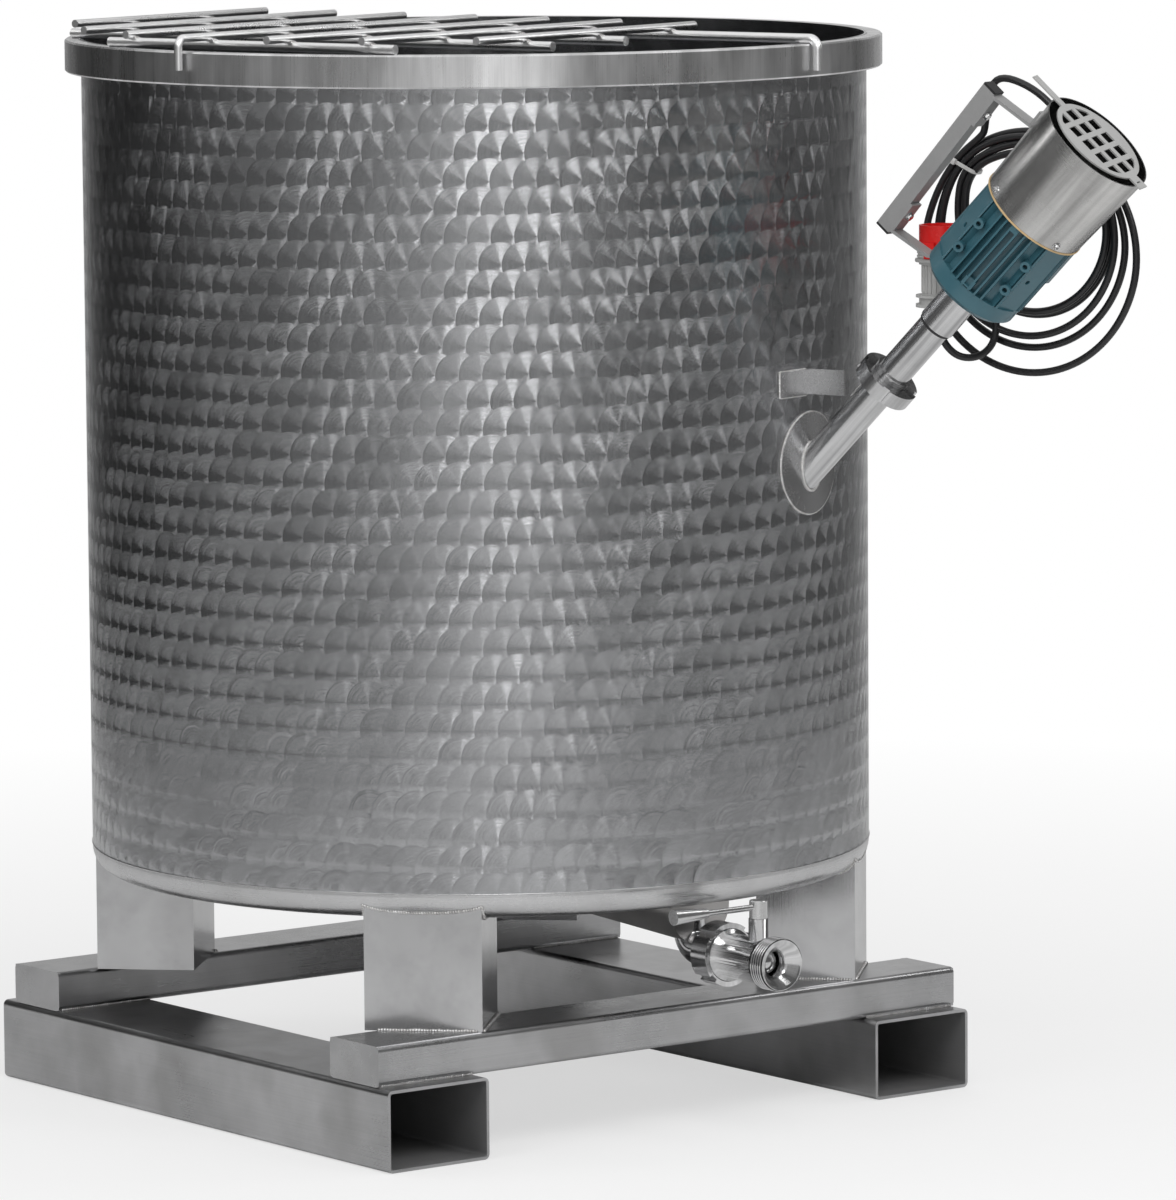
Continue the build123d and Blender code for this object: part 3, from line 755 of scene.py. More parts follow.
def lathe(name: str, outline: Outline, place: Matrix, steps: int, closed: bool = False) -> Mesh:
    """Turn an outline about the Z axis of a place.

    Args:
        name: the mesh's name.
        outline: pairs of radius and height in millimetres; a radius of 0 closes the end.
        place: where the axis lies.
        steps: faces round the axis.
        closed: whether the outline's last point joins its first.

    Returns:
        The mesh.
    """
    shape = bmesh.new()
    rings = []
    for radius, height in outline:
        if radius < 1e-6:
            rings.append([shape.verts.new((0, 0, height * MM))] * steps)
            continue
        rings.append([shape.verts.new((out * radius + UP * height) * MM) for out in circle(steps)])
    for lower, upper in zip(rings, rings[1:] + (rings[:1] if closed else [])):
        for step in range(steps):
            after = (step + 1) % steps
            corners = [lower[step], lower[after], upper[after], upper[step]]
            unique = list(dict.fromkeys(corners))
            if len(unique) > 2:
                shape.faces.new(unique)
    bmesh.ops.remove_doubles(shape, verts=shape.verts, dist=1e-7)
    bmesh.ops.recalc_face_normals(shape, faces=shape.faces)
    shape.transform(place)
    return settled(shape, name)


def merged(name: str, parts: Iterable[Mesh]) -> Mesh:
    """Join meshes into one.

    Args:
        name: the new mesh's name.
        parts: the meshes, which are removed.

    Returns:
        The joined mesh.
    """
    shape = bmesh.new()
    for part in parts:
        shape.from_mesh(part)
        bpy.data.meshes.remove(part)
    return settled(shape, name)


# ---- Geometry Nodes --------------------------------------------------------


class GeoTree:
    """A Geometry Nodes tree with named sizes."""

    def __init__(self, name: str, sizes: dict[str, float]) -> None:
        """Start a tree.

        Args:
            name: the tree's name.
            sizes: its inputs and their values.
        """
        self.tree = bpy.data.node_groups.new(name, "GeometryNodeTree")
        face = self.tree.interface
        face.new_socket("Geometry", in_out="INPUT", socket_type="NodeSocketGeometry")
        face.new_socket("Geometry", in_out="OUTPUT", socket_type="NodeSocketGeometry")
        self.sizes = dict(sizes)
        self.keys = {}
        for key in sizes:
            socket = face.new_socket(key, in_out="INPUT", socket_type="NodeSocketFloat")
            self.keys[key] = socket.identifier
        self.start = self.tree.nodes.new("NodeGroupInput")
        self.end = self.tree.nodes.new("NodeGroupOutput")

    def add(self, kind: str, settings: dict | None = None, links: dict | None = None) -> Node:
        """Add a node.

        Args:
            kind: the node's type.
            settings: attributes to set first.
            links: sockets by name or number: output sockets or values.

        Returns:
            The node.
        """
        made = self.tree.nodes.new(kind)
        for key, value in (settings or {}).items():
            setattr(made, key, value)
        for key, value in (links or {}).items():
            if isinstance(value, NodeSocket):
                self.tree.links.new(value, made.inputs[key])
            else:
                made.inputs[key].default_value = value
        return made

    def close(self, geometry: NodeSocket, material: Material) -> None:
        """End the tree with Realize Instances and Set Material.

        Args:
            geometry: what the tree has made.
            material: its finish.
        """
        real = self.add("GeometryNodeRealizeInstances", links={0: geometry})
        done = self.add("GeometryNodeSetMaterial", links={"Geometry": real.outputs[0], "Material": material})
        self.tree.links.new(done.outputs[0], self.end.inputs[0])

    def grow(self, name: str, seed_mesh: Mesh, sizes: dict[str, float]) -> Mesh:
        """Run the tree on a mesh and return the plain result.

        Args:
            name: the result's name.
            seed_mesh: the mesh that the tree starts from.
            sizes: values in place of the tree's own.

        Returns:
            The mesh.
        """
        holder = linked(name + "_seed", seed_mesh)
        modifier = holder.modifiers.new("grow", "NODES")
        modifier.node_group = self.tree
        for key, value in {**self.sizes, **sizes}.items():
            modifier[self.keys[key]] = float(value)
        evaluated = holder.evaluated_get(bpy.context.evaluated_depsgraph_get())
        mesh = bpy.data.meshes.new_from_object(evaluated)
        mesh.name = name
        bpy.data.objects.remove(holder)
        bpy.data.meshes.remove(seed_mesh)
        return mesh


def line_mesh(lines: Iterable[Sequence[Vector]], closed: bool = False) -> Mesh:
    """Make a mesh of edges along lines.

    Args:
        lines: the lines, each a row of points in metres.
        closed: whether each line's last point joins its first.

    Returns:
        The mesh.
    """
    points: list[Vector] = []
    edges: list[tuple[int, int]] = []
    for line in lines:
        first = len(points)
        points.extend(line)
        edges.extend((i, i + 1) for i in range(first, len(points) - 1))
        if closed:
            edges.append((len(points) - 1, first))
    mesh = bpy.data.meshes.new("lines")
    mesh.from_pydata(points, edges, [])
    return mesh


def bead_tree(material: Material) -> GeoTree:
    """Build the tree that lays weld ripples along lines.

    Args:
        material: the ripples' finish.

    Returns:
        The tree.
    """
    geo = GeoTree("weld_ripples", {"Pitch": 0.0018, "Radius": 0.0022, "Uneven": 0.18})
    outputs = geo.start.outputs
    curve = geo.add("GeometryNodeMeshToCurve", links={0: outputs["Geometry"]})
    spaced = geo.add("GeometryNodeResampleCurve", {"mode": "LENGTH"},
                     {"Curve": curve.outputs[0], "Length": outputs["Pitch"]})
    ball = geo.add("GeometryNodeMeshIcoSphere", links={"Radius": outputs["Radius"], "Subdivisions": 2})
    small = geo.add("ShaderNodeMath", {"operation": "SUBTRACT"}, {0: 1.0, 1: outputs["Uneven"]})
    large = geo.add("ShaderNodeMath", {"operation": "ADD"}, {0: 1.0, 1: outputs["Uneven"]})
    size = geo.add("FunctionNodeRandomValue", {"data_type": "FLOAT"}, {"Seed": 7})
    geo.tree.links.new(small.outputs[0], size.inputs[2])
    geo.tree.links.new(large.outputs[0], size.inputs[3])
    placed = geo.add("GeometryNodeInstanceOnPoints", links={
        "Points": spaced.outputs[0], "Instance": ball.outputs[0], "Scale": size.outputs[1]})
    geo.close(placed.outputs[0], material)
    return geo


def thread_tree(material: Material) -> GeoTree:
    """Build the tree that sweeps a rounded ridge along a line.

    Args:
        material: the ridge's finish.

    Returns:
        The tree.
    """
    geo = GeoTree("rounded_thread", {"Ridge": 0.0014})
    outputs = geo.start.outputs
    curve = geo.add("GeometryNodeMeshToCurve", links={0: outputs["Geometry"]})
    section = geo.add("GeometryNodeCurvePrimitiveCircle", links={
        "Resolution": 10, "Radius": outputs["Ridge"]})
    swept = geo.add("GeometryNodeCurveToMesh", links={
        "Curve": curve.outputs[0], "Profile Curve": section.outputs[0], "Fill Caps": True})
    geo.close(swept.outputs[0], material)
    return geo


# ---- Cable -----------------------------------------------------------------


@dataclass(frozen=True)
class HankTurn:
    """One turn of the hank: its circle, beside the mixer, and its place in the tie. Millimetres."""

    out: float
    height: float
    radius: float
    depth: float
    tie_slot: float


@dataclass
class Cable:
    """The motor's cable: from its gland over the handle into a tied hank, and on to its plug."""

    mixer: MixerPlace
    diameter: float = 9.0
    gland_x: float = 85.8
    gland_top: float = 455.0
    straight: float = 34.0
    lead_spots: tuple[Triple, ...] = (
        (88, 338, 1200), (86, 305, 1242), (80, 268, 1276), (82, 216, 1290), (96, 196, 1255), (107, 186, 1222))
    tail_spots: tuple[Triple, ...] = (
        (106.5, 202, 1004), (105.5, 201.5, 963), (92.2, 187.6, 944), (73.3, 167.9, 944), (60, 154, 963),
        (60, 154, 977), PLUG_FOOT)
    turns: tuple[HankTurn, ...] = (
        HankTurn(248.0, 1075.5, 150.5, 107.5, 31.0),
        HankTurn(243.5, 1088.0, 133.0, 118.0, 28.0),
        HankTurn(245.0, 1092.5, 122.5, 107.5, 21.8),
        HankTurn(250.0, 1103.0, 107.5, 118.0, 14.0),
        HankTurn(252.0, 1103.5, 103.5, 107.5, 12.4),
        HankTurn(252.0, 1103.5, 93.0, 107.5, 3.0),
    )
    start_angle: float = 118.0
    end_angle: float = 222.0
    tie_angle: float = 139.0
    tie_reach: float = 45.0
    change_from: float = -5.0
    change_to: float = 66.0
    steps: int = 20
    tie_inner: tuple[float, float] = (173.7, 1167.7)
    tie_outer: tuple[float, float] = (140.8, 1183.6)
    tie_edge: float = 3.0
    length: float = 4.47
    boot_core: float = 4.6
    boot_ribs: int = 5
    boot_pitch: float = 5.0
    boot_taper: float = 0.45
    boot_rib: Outline = ((0.0, 0.0), (0.0, 3.2), (1.1, 3.6), (1.2, 4.7))

    @property
    def gland(self) -> Vector:
        """Return the point where the cable leaves its gland."""
        return self.mixer.at(self.gland_x, 0, self.gland_top)

    def lead(self) -> list[Vector]:
        """Return the lead's points, from the gland to the hank."""
        first = [self.gland, self.gland + self.mixer.along * self.straight * MM]
        return first + [self.mixer.beside(*spot) for spot in self.lead_spots]

    def tail(self) -> list[Vector]:
        """Return the tail's points, from the hank to the plug."""
        return [self.mixer.beside(*spot) for spot in self.tail_spots]

    def turn_point(self, angle: float) -> Triple:
        """Find a point of the hank.

        Args:
            angle: degrees turned, counted on from one turn to the next.

        Returns:
            Millimetres outwards, up and across.
        """
        whole = math.floor((angle + 90.0) / 360.0)
        part = angle - whole * 360.0
        ease = min(max((part - self.change_from) / (self.change_to - self.change_from), 0.0), 1.0)
        ease = ease * ease * (3 - 2 * ease)
        first = self.turns[min(max(whole - 1, 0), len(self.turns) - 1)]
        second = self.turns[min(max(whole, 0), len(self.turns) - 1)]

        def mix(key: str) -> float:
            """Return a size between this turn and the next."""
            return getattr(first, key) + (getattr(second, key) - getattr(first, key)) * ease

        turned = math.radians(angle)
        out = mix("out") + mix("radius") * math.cos(turned)
        height = mix("height") + mix("radius") * math.sin(turned)
        away = abs(part - self.tie_angle)
        if away < self.tie_reach:
            pull = math.cos(math.radians(away * 2)) ** 2
            tied = math.radians(self.tie_angle)
            (low_out, low), (high_out, high) = self.tie_inner, self.tie_outer
            slot = (mix("tie_slot") + self.tie_edge) / math.hypot(high_out - low_out, high - low)
            goal_out = low_out + (high_out - low_out) * slot
            goal = low + (high - low) * slot
            out += (goal_out - mix("out") - mix("radius") * math.cos(tied)) * pull
            height += (goal - mix("height") - mix("radius") * math.sin(tied)) * pull
        return out, height, mix("depth")

    def hank(self) -> list[Vector]:
        """Lay the hank's points, from the lead to the tail.

        Returns:
            The points in metres.
        """
        total = self.end_angle + 360.0 * (len(self.turns) - 1) - self.start_angle
        count = int(total / (360.0 / self.steps)) + 1
        points = []
        for step in range(count):
            out, height, depth = self.turn_point(self.start_angle + total * step / (count - 1))
            points.append(self.mixer.beside(depth, out, height))
        return points

    def build(self, sheath: Material, boot: Material, pieces: Sequence[Object]) -> None:
        """Make the cable and its strain relief.

        Args:
            sheath: the cable's finish.
            boot: the finish of the strain relief.
            pieces: what lies on the cable, such as its plug and tie; not used.
        """
        points = self.lead() + self.hank() + self.tail()
        line = bpy.data.curves.new("cable", "CURVE")
        line.dimensions = "3D"
        line.bevel_depth = self.diameter / 2 * MM
        line.bevel_resolution = 5
        line.resolution_u = 6
        line.use_fill_caps = True
        spline = line.splines.new("NURBS")
        spline.points.add(len(points) - 1)
        for knot, point in zip(spline.points, points):
            knot.co = (*point, 1.0)
        spline.order_u = 3
        spline.use_endpoint_u = True
        line.materials.append(sheath)
        cable = wear(linked("cable", line), "cable")
        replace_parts(cable, "cable_lead", "cable_coil", "cable_tail")
        gland = self.gland
        self.strain_relief(boot)

    def strain_relief(self, boot: Material) -> None:
        """Make the tapered rubber boot where the cable leaves its gland.

        Args:
            boot: its finish.
        """
        outline = [(self.boot_core, 0.0), (7.6, 0.0), (7.8, 2.0)]
        for rib in range(self.boot_ribs):
            low = 3.0 + rib * self.boot_pitch
            radius = 7.4 - rib * self.boot_taper
            outline += [(radius - inwards, low + rise) for inwards, rise in self.boot_rib]
        outline += [(5.3, 29.0), (self.boot_core, 30.0)]
        place = self.mixer.matrix(self.gland_top) @ Matrix.Translation((self.gland_x * MM, 0, 0))
        mesh = lathe("strain_relief", tuple(outline), place, 40, closed=True)
        wear(plain_object("strain_relief", mesh, boot, 30), "rubber")


# ---- Studio ----------------------------------------------------------------


@dataclass
class Studio:
    """The camera at the photograph's place, the floor and plain soft light. Metres."""

    axis: Vector
    azimuth: float = math.radians(-37.256)
    elevation: float = math.radians(6.895)
    roll: float = math.radians(-0.439)
    focal_pixels: float = 7825.25
    eye: Triple = (-5.8144, -7.8715, 1.7979)
    aim_height: float = 0.7
    world_light: float = 0.62
    floor_reach: float = 16.0
    floor_drop: float = 0.0005
    floor_fade: tuple[float, float, float, float] = (0.8, 3.2, 0.60, 1.0)
    ceiling_fade: tuple[float, float, float, float] = (1.7, 2.9, 0.85, 0.10)
    wall_radius: float = 3.4
    wall_height: float = 3.0
    wall_steps: int = 96
    walls: tuple[tuple[float, float], ...] = (
        (-180.0, 0.62), (-160.0, 0.50), (-146.0, 0.10), (-132.0, 0.03), (-95.0, 0.04), (-75.0, 0.14),
        (-55.0, 0.17), (-25.0, 0.22), (-10.0, 0.55), (8.0, 0.80), (20.0, 0.45), (34.0, 0.15), (62.0, 0.13),
        (84.0, 0.20), (100.0, 0.06), (110.0, 0.26), (121.0, 0.04), (130.0, 0.20), (138.0, 0.04),
        (150.0, 0.45), (168.0, 0.62),
    )
    lamps: tuple[tuple[str, float, float, float, tuple[float, float], float], ...] = (
        ("lamp_front", 10.0, 2.6, 2.7, (1.2, 1.5), 28.0),
        ("lamp_right", 52.0, 2.6, 2.7, (0.9, 1.4), 13.0),
        ("lamp_left", -38.0, 2.6, 2.7, (0.9, 1.4), 12.0),
        ("lamp_far_right", 100.0, 2.6, 2.6, (0.6, 1.3), 8.0),
        ("lamp_far_left", -95.0, 2.6, 2.6, (0.6, 1.3), 6.0),
    )

    def camera(self) -> None:
        """Place the camera."""
        data = bpy.data.cameras.new("camera")
        data.sensor_width = 36.0
        data.lens = self.focal_pixels * data.sensor_width / PHOTO_HEIGHT
        data.clip_end = 100.0
        level = math.cos(self.elevation)
        back = Vector((math.sin(self.azimuth) * level, -math.cos(self.azimuth) * level,
                       math.sin(self.elevation)))
        right = Vector((math.cos(self.azimuth), math.sin(self.azimuth), 0))
        up = back.cross(right)
        turned = right * math.cos(self.roll) + up * math.sin(self.roll)
        tall = up * math.cos(self.roll) - right * math.sin(self.roll)
        pose = Matrix((turned, tall, back)).transposed().to_4x4()
        pose.translation = Vector(self.eye) + self.axis
        camera = linked("camera", data)
        camera.matrix_world = pose
        bpy.context.scene.camera = camera

    def lamp(self, name: str, place: Triple, size: tuple[float, float], power: float) -> None:
        """Add a soft rectangular lamp that faces the tank.

        Args:
            name: the lamp's name.
            place: where it stands, from the foot of the tank's axis.
            size: its width and height.
            power: its power in watts.
        """
        data = bpy.data.lights.new(name, "AREA")
        data.shape = "RECTANGLE"
        data.size, data.size_y = size
        data.energy = power
        lamp = linked(name, data)
        lamp.location = Vector(place) + self.axis
        aim = self.axis + UP * self.aim_height - lamp.location
        lamp.rotation_euler = aim.to_track_quat("-Z", "Y").to_euler()

    def world(self) -> None:
        """Light the object evenly, with a pale background."""
        graph = Graph("studio", world=True)
        bpy.context.scene.world = graph.owner
        path = graph.node("ShaderNodeLightPath")
        seen = graph.math("MAXIMUM", graph.out(path, "Is Camera Ray"), graph.out(path, "Is Glossy Ray"))
        seen = graph.math("MAXIMUM", seen, graph.out(path, "Is Transmission Ray"))
        dim, pale = (graph.shader("Background", {0: WHITE, 1: level}) for level in (self.world_light, 1.0))
        graph.mixed(seen, dim, pale, "World")

    def surface(self, name: str, points: Sequence[Vector], faces: Sequence[tuple[int, ...]],
                material: Material, reflected: bool) -> None:
        """Add a studio surface.

        Args:
            name: its name.
            points: its corners.
            faces: the numbers of each face's corners.
            material: its finish.
            reflected: whether only reflections show it.
        """
        mesh = bpy.data.meshes.new(name)
        mesh.from_pydata(points, [], faces)
        mesh.materials.append(material)
        made = linked(name, mesh)
        if reflected:
            for ray in ("camera", "diffuse", "shadow", "transmission"):
                setattr(made, f"visible_{ray}", False)
        made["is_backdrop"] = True

    def floor(self) -> None:
        """Lay a pale floor that fades into the white background."""
        graph = Graph("pale_floor")
        place = graph.vector("SUBTRACT", graph.place(), tuple(self.axis))
        far = graph.fit(graph.vector("LENGTH", place), *self.floor_fade)
        seen = graph.out(graph.node("ShaderNodeLightPath"), "Is Camera Ray")
        colour = graph.blend(graph.noise(graph.place(), 1.6, 2.0), (0.80,) * 3, (0.84,) * 3)
        lit = graph.shader("BsdfPrincipled", {"Base Color": colour, "Roughness": 0.85})
        graph.mixed(seen * far, lit, graph.shader("Emission", {"Color": WHITE, "Strength": 1.0}))
        corners = [Vector((x * self.floor_reach, y * self.floor_reach, -self.floor_drop))
                   for x, y in ((-1, -1), (1, -1), (1, 1), (-1, 1))]
        self.surface("floor", corners, [(0, 1, 2, 3)], graph.owner, False)

    def surround(self) -> None:
        """Stand a ring of soft grey walls and a dark ceiling round the tank, for the steel to reflect."""
        graph = Graph("grey_walls")
        view = self.azimuth - math.pi / 2
        angle, _, _ = graph.around(self.axis, UP, Vector((math.cos(view), math.sin(view), 0)))
        stops = [((degrees + 180.0) / 360.0, (level,) * 3) for degrees, level in self.walls]
        share = graph.fit(angle, -math.pi, math.pi)
        self.glow(graph, graph.out(graph.node("ShaderNodeValToRGB", {"stops": stops}, {0: share})))
        turns = self.wall_steps
        foot = [self.axis + out * self.wall_radius for out in circle(turns)]
        top = [point + UP * self.wall_height for point in foot]
        faces = [(i, (i + 1) % turns, turns + (i + 1) % turns, turns + i) for i in range(turns)]
        self.surface("walls", foot + top, faces, graph.owner, True)
        graph = Graph("dark_ceiling")
        middle = self.axis + UP * self.wall_height
        reach = graph.vector("LENGTH", graph.vector("SUBTRACT", graph.place(), tuple(middle)))
        self.glow(graph, graph.grey(graph.fit(reach, *self.ceiling_fade)))
        self.surface("ceiling", top, [tuple(range(turns))], graph.owner, True)

    def glow(self, graph: Graph, tone: Value) -> None:
        """Close a material as one that only glows."""
        shader = graph.shader("Emission", {"Color": tone, "Strength": 1.0})
        graph.node("ShaderNodeOutputMaterial", inputs={0: shader})

    def build(self) -> None:
        """Set up the camera, the light, the floor and the walls that steel reflects."""
        self.camera()
        self.world()
        for name, degrees, distance, height, size, power in self.lamps:
            angle = self.azimuth - math.pi / 2 + math.radians(degrees)
            place = (math.cos(angle) * distance, math.sin(angle) * distance, height)
            self.lamp(name, place, size, power)
        self.floor()
        self.surround()
        bpy.context.scene.view_settings.view_transform = "Standard"


# ---- The tank's finishes ---------------------------------------------------


@dataclass
class Finishes:
    """All the finishes, built once."""

    axis: Vector
    mixer: MixerPlace

    def build(self) -> dict[str, Material]:
        """Build every finish.

        Returns:
            The materials by name.
        """
        round_mixer = {"spread": Spread.ROUND, "origin": self.mixer.origin, "along": self.mixer.along,
                       "across": self.mixer.side}
        round_drain = {"spread": Spread.ROUND, "origin": drain_middle(self.axis), "along": Vector((0, 1, 0))}
        finishes = (
            BrushedSteel("rim_steel", (0.95, 0.95, 0.955), 0.28, Spread.ALONG_Z, self.axis, lines=0.16,
                         cloud=0.10, reflection_bands=0.5, reflection_band_pitch=10.0),
            BrushedSteel("head_steel", (0.56, 0.56, 0.565), 0.27, Spread.ROUND, self.axis, tint=0.2),
            BrushedSteel("sump_steel", (0.40, 0.39, 0.385), 0.33, tint=0.5),
            BrushedSteel("pipe_steel", (0.74, 0.74, 0.745), 0.10, lines=0.07, cloud=0.08, reflection_bands=0.45,
                         reflection_band_pitch=2.5, thread=ThreadBand(), **round_drain),
            BrushedSteel("mixer_steel", (0.70, 0.70, 0.705), 0.15, lines=0.08, cloud=0.1, reflection_bands=0.45,
                         reflection_band_pitch=2.4, **round_mixer),
            BrushedSteel("cowl_steel", (0.60, 0.595, 0.585), 0.24, lines=0.12, cloud=0.20, reflection_bands=0.5,
                         reflection_band_pitch=2.8, **round_mixer),
            BrushedSteel("fork_steel", (0.45, 0.45, 0.455), 0.30, Spread.ALONG_Y, lines=0.14, cloud=0.40,
                         tint=0.4, hollow=TubeInside()),
            BrushedSteel("cross_steel", (0.44, 0.44, 0.445), 0.28, Spread.ALONG_X, lines=0.14, cloud=0.40,
                         tint=0.4),
            BrushedSteel("leg_steel", (0.46, 0.46, 0.465), 0.18, Spread.ALONG_Z, cloud=0.40, tint=0.2),
            BrushedSteel("pad_steel", (0.62, 0.62, 0.625), 0.24, lines=0.14, cloud=0.2),
            BrushedSteel("rod_steel", (0.90, 0.90, 0.90), 0.30),
            BrushedSteel("bar_steel", (0.60, 0.60, 0.60), 0.22, lines=0.12, cloud=0.2),
            BrushedSteel("handle_steel", (0.46, 0.46, 0.46), 0.60, lines=0.12, cloud=0.2),
            EngineTurnedSteel("turned_sheet", self.axis),
            Paint("motor_paint_finish", (0.026, 0.098, 0.130), (0.050, 0.140, 0.170)),
            Moulded("gasket_board", (0.55, 0.39, 0.20), 0.75, 0.5, 0.2),
            Moulded("black_rubber", (0.020, 0.020, 0.021), 0.6, 0.4, 0.25),
            Moulded("cable_sheath", (0.012, 0.012, 0.013), 0.33, 0.35, 0.3),
            Moulded("black_plastic_finish", (0.016, 0.016, 0.017), 0.42, 0.3, 0.2),
            Moulded("grey_cover_plastic", (0.36, 0.36, 0.355), mottle=0.08),
            Moulded("grey_plug_plastic", (0.50, 0.50, 0.49), 0.42, mottle=0.08),
            Moulded("red_plug_plastic", (0.72, 0.012, 0.010), 0.28, 0.15, 0.06),
            Moulded("tie_nylon", (0.58, 0.58, 0.57), 0.4, 0.2, 0.05),
            WeldMetal("weld_metal"),
        )
        return {finish.name: finish.build() for finish in finishes}


WEARERS = {
    "turned_sheet": ("tank_shell",),
    "rim_steel": ("rim_tube",),
    "head_steel": ("bottom_head",),
    "sump_steel": ("sump_channel",),
    "pipe_steel": ("outlet_elbow", "union_nut", "valve_body", "valve_ball"),
    "bar_steel": ("valve_lever",),
    "rod_steel": ("safety_grille",),
    "fork_steel": ("fork_tube_left", "fork_tube_right"),
    "cross_steel": ("cross_tube_front", "cross_tube_rear"),
    "leg_steel": ("leg_front_left", "leg_front_right", "leg_rear_left", "leg_rear_right"),
    "pad_steel": ("wall_pad", "brace_strap", "propeller"),
    "mixer_steel": ("mixer_sleeve", "sleeve_nut", "mixer_tube", "mixer_shaft", "motor_neck", "fan_shaft"),
    "cowl_steel": ("fan_cowl",),
    "handle_steel": ("handle_bar", "handle_bracket_lower", "handle_bracket_upper"),
    "motor_paint_finish": ("motor_housing", "terminal_box"),
    "gasket_board": ("cowl_gasket",),
    "black_rubber": ("neck_seal",),
    "black_plastic_finish": ("cooling_fan", "handle_caps", "cable_gland"),
    "grey_cover_plastic": ("cowl_cover",),
    "grey_plug_plastic": ("plug_body",),
    "red_plug_plastic": ("plug_shroud",),
    "tie_nylon": ("cable_tie",),
    "cable_sheath": ("cable_lead", "cable_coil", "cable_tail"),
}


def dress_nodes(finishes: dict[str, Material]) -> None:
    """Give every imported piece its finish.

    Args:
        finishes: the materials by name.
    """
    for finish, names in WEARERS.items():
        for name in names:
            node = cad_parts[name]
            if not node.material_slots:
                node.data.materials.append(finishes[finish])
            for slot in node.material_slots:
                slot.material = finishes[finish]
            log.info("%s: %s", name, finish)


# ---- Welds, threads and screws ---------------------------------------------


